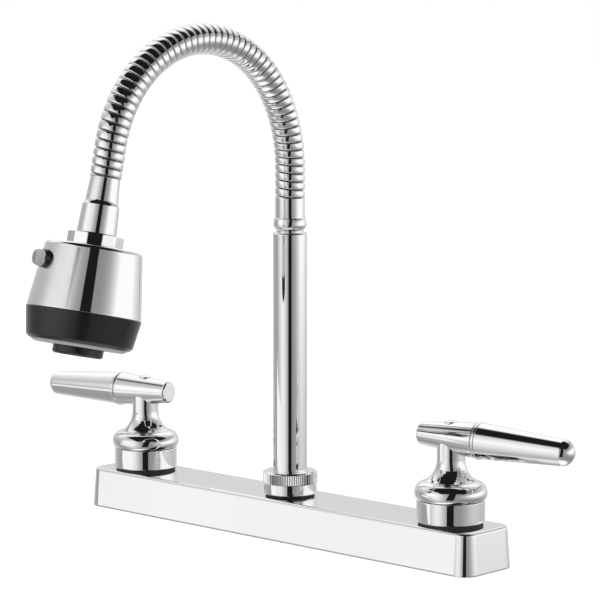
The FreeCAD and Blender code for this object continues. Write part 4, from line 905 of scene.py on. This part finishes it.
# Directions are degrees to the right of the line from the object to the camera, and up from level.
# Each soft light has a place, a spread to either side, a height, a spread down and up, and how much it
# adds to the room's own grey.
ROOM = 0.27
BRIGHTEST = 1.08
SOFT_LIGHTS = [
    {"turn": -73.0, "spread": (17.5, 15.0), "rise": 10.5, "tall": (13.0, 12.0), "add": 0.7},
    {"turn": -46.0, "spread": (32.0, 25.0), "rise": 0.0, "tall": (48.0, 57.0), "add": 0.68},
    {"turn": 82.0, "spread": (37.0, 52.0), "rise": 4.0, "tall": (15.5, 12.5), "add": 1.13},
    {"turn": 188.0, "spread": (48.0, 47.0), "rise": -30.0, "tall": (15.5, 37.5), "add": 0.66},
    {"turn": 190.0, "spread": (69.0, 71.0), "rise": 37.0, "tall": (22.5, 90.0), "add": 0.96},
    {"turn": 0.0, "spread": (123.0, 184.0), "rise": -69.0, "tall": (77.0, 12.0), "add": 1.3},
]
TENT_RADIUS, TENT_COLUMNS, TENT_ROWS = 3.0, 240, 120
MIDDLE = Vector((0.0, 0.0, 0.1))


def facing(angle):
    """A level direction's X and Y, from degrees to the right of the line to the camera."""
    heading = math.radians(-(90 - CAMERA_TURN) + angle)
    return math.cos(heading), math.sin(heading)


def tent_level(angle, rise):
    bright = ROOM
    for light in SOFT_LIGHTS:
        off = (angle - light["turn"] + 180) % 360 - 180
        lift = rise - light["rise"]
        off /= light["spread"][off > 0]
        lift /= light["tall"][lift > 0]
        bright += light["add"] * math.exp(-off * off - lift * lift)
    return min(bright, BRIGHTEST)


def tent():
    """A round room that only reflections see: soft lights at the sides and a pale backdrop."""
    verts, faces, level = [], [], []
    for row in range(TENT_ROWS + 1):
        rise = -90 + 180 * row / TENT_ROWS
        flat, up = math.cos(math.radians(rise)), math.sin(math.radians(rise))
        for column in range(TENT_COLUMNS):
            angle = 360 * column / TENT_COLUMNS - 180
            x, y = facing(angle)
            verts.append((x * flat * TENT_RADIUS, y * flat * TENT_RADIUS, up * TENT_RADIUS))
            level.append(tent_level(angle, rise))
    for row in range(TENT_ROWS):
        low, high = row * TENT_COLUMNS, (row + 1) * TENT_COLUMNS
        for column in range(TENT_COLUMNS):
            after = (column + 1) % TENT_COLUMNS
            faces.append([low + column, low + after, high + after, high + column])
    mesh = bpy.data.meshes.new("tent")
    mesh.from_pydata(verts, [], faces)
    shade = mesh.color_attributes.new("level", "FLOAT_COLOR", "POINT")
    shade.data.foreach_set("color", [c for v in level for c in (v, v, v, 1.0)])
    made = put("tent", mesh)
    made.location = MIDDLE
    paint, tree, light = emission("tent_light", 1.0)
    reader = tree.nodes.new("ShaderNodeAttribute")
    reader.attribute_name = "level"
    tree.links.new(reader.outputs["Color"], light.inputs["Color"])
    mesh.materials.append(paint)
    glossy_only(made)


CARD_BLACK = 0.012
CARD_STEPS = 24


def card(name, corner, along, across, level, soft=0.0):
    """A flat card that only reflections see. Its corner and two sides are right, towards the camera and
    up, in metres; a soft one fades out towards its rim over that share of its size."""
    verts, faces, opacity = [], [], []
    rx, ry = facing(90.0)
    fx, fy = facing(0.0)
    for i in range(CARD_STEPS + 1):
        for j in range(CARD_STEPS + 1):
            u, v = i / CARD_STEPS, j / CARD_STEPS
            right, near, up = (corner[k] + along[k] * u + across[k] * v for k in range(3))
            verts.append((right * rx + near * fx, right * ry + near * fy, up))
            edge = min(u, v, 1 - u, 1 - v)
            fade = 1.0 if soft == 0 else min(1.0, edge / soft)
            opacity.append(fade * fade * (3 - 2 * fade))
    for i in range(CARD_STEPS):
        for j in range(CARD_STEPS):
            a = i * (CARD_STEPS + 1) + j
            faces.append([a, a + 1, a + CARD_STEPS + 2, a + CARD_STEPS + 1])
    mesh = bpy.data.meshes.new(name)
    mesh.from_pydata(verts, [], faces)
    fade = mesh.attributes.new("fade", "FLOAT", "POINT")
    fade.data.foreach_set("value", opacity)
    made = put(name, mesh)
    paint, tree, light = emission(name, level)
    reader = tree.nodes.new("ShaderNodeAttribute")
    reader.attribute_name = "fade"
    clear = tree.nodes.new("ShaderNodeBsdfTransparent")
    mix = tree.nodes.new("ShaderNodeMixShader")
    out = tree.nodes["Material Output"]
    tree.links.new(reader.outputs["Fac"], mix.inputs["Fac"])
    tree.links.new(clear.outputs["BSDF"], mix.inputs[1])
    tree.links.new(light.outputs["Emission"], mix.inputs[2])
    tree.links.new(mix.outputs["Shader"], out.inputs["Surface"])
    mesh.materials.append(paint)
    glossy_only(made)


FLOOR_REACH, FLOOR_LEVEL = 6, -0.0002
FLOOR_CORNERS = [(-1, -1), (1, -1), (1, 1), (-1, 1)]
FLOOR_GREY = 0.8


def floor():
    """A pale floor that takes a shadow, with a glow of its own for the camera alone."""
    mesh = bpy.data.meshes.new("floor")
    corners = [(x * FLOOR_REACH, y * FLOOR_REACH, FLOOR_LEVEL) for x, y in FLOOR_CORNERS]
    mesh.from_pydata(corners, [], [[0, 1, 2, 3]])
    made = put("floor", mesh)
    paint = bpy.data.materials.new("pale_floor")
    paint.use_nodes = True
    tree = paint.node_tree
    tree.nodes.clear()
    out = tree.nodes.new("ShaderNodeOutputMaterial")
    matt = tree.nodes.new("ShaderNodeBsdfDiffuse")
    matt.inputs["Color"].default_value = (FLOOR_GREY, FLOOR_GREY, FLOOR_GREY, 1.0)
    glow = tree.nodes.new("ShaderNodeEmission")
    path = tree.nodes.new("ShaderNodeLightPath")
    seen = tree.nodes.new("ShaderNodeMath")
    seen.operation = "MULTIPLY"
    seen.inputs[1].default_value = FLOOR_GREY
    tree.links.new(path.outputs["Is Camera Ray"], seen.inputs[0])
    tree.links.new(seen.outputs["Value"], glow.inputs["Strength"])
    both = tree.nodes.new("ShaderNodeAddShader")
    tree.links.new(matt.outputs["BSDF"], both.inputs[0])
    tree.links.new(glow.outputs["Emission"], both.inputs[1])
    tree.links.new(both.outputs["Shader"], out.inputs["Surface"])
    paint.cycles.emission_sampling = "NONE"
    mesh.materials.append(paint)
    made.visible_glossy = False


def world():
    """White to the camera, to reflections and through glass, and half as bright as a light."""
    made = bpy.data.worlds.new("studio")
    bpy.context.scene.world = made
    made.use_nodes = True
    tree = made.node_tree
    tree.nodes.clear()
    out = tree.nodes.new("ShaderNodeOutputWorld")
    plain = tree.nodes.new("ShaderNodeBackground")
    plain.inputs["Color"].default_value = (1.0, 1.0, 1.0, 1.0)
    plain.inputs["Strength"].default_value = 0.5
    white = tree.nodes.new("ShaderNodeBackground")
    white.inputs["Color"].default_value = (1.0, 1.0, 1.0, 1.0)
    path = tree.nodes.new("ShaderNodeLightPath")
    seen = tree.nodes.new("ShaderNodeMath")
    seen.operation = "ADD"
    shown = tree.nodes.new("ShaderNodeMath")
    shown.operation = "ADD"
    shown.use_clamp = True
    tree.links.new(path.outputs["Is Camera Ray"], seen.inputs[0])
    tree.links.new(path.outputs["Is Glossy Ray"], seen.inputs[1])
    tree.links.new(seen.outputs["Value"], shown.inputs[0])
    tree.links.new(path.outputs["Is Transmission Ray"], shown.inputs[1])
    mix = tree.nodes.new("ShaderNodeMixShader")
    tree.links.new(shown.outputs["Value"], mix.inputs["Fac"])
    tree.links.new(plain.outputs["Background"], mix.inputs[1])
    tree.links.new(white.outputs["Background"], mix.inputs[2])
    tree.links.new(mix.outputs["Shader"], out.inputs["Surface"])


def lamp(name, spot, watts, wide):
    """A square light that reflections don't see, aimed at the middle of the object."""
    data = bpy.data.lights.new(name, "AREA")
    data.energy, data.size = watts, wide
    made = put(name, data)
    made.location = spot
    made.rotation_euler = (MIDDLE - Vector(spot)).to_track_quat("-Z", "Y").to_euler()
    made.visible_glossy = False


camera()
world()
tent()
floor()
lamp("key", (-0.9, -1.9, 1.9), 17.0, 1.6)
lamp("fill", (1.9, 0.3, 1.5), 11.0, 1.8)
card("camera_card", (-0.346, 1.3, -0.6), (0.51, 0.0, 0.0), (0.3135, 0.0, 1.9), CARD_BLACK)
card("ceiling_card", (-1.3, -0.45, 1.3), (3.1, 0.0, 0.0), (0.0, 2.4, 0.0), CARD_BLACK, 0.1)
card("back_card", (1.05, -0.3, 0.87), (-0.38, -0.8, -0.44), (0.03, 0.05, 0.18), CARD_BLACK, 0.3)
card("deck_card", (-0.61, -0.09, -0.07), (0.29, 0.27, 0.0), (0.0, 0.0, 0.075), 1.0)

scene = bpy.context.scene
scene.view_settings.view_transform = "Standard"
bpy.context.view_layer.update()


def plain(box):
    return [[float(number) for number in corner] for corner in box]
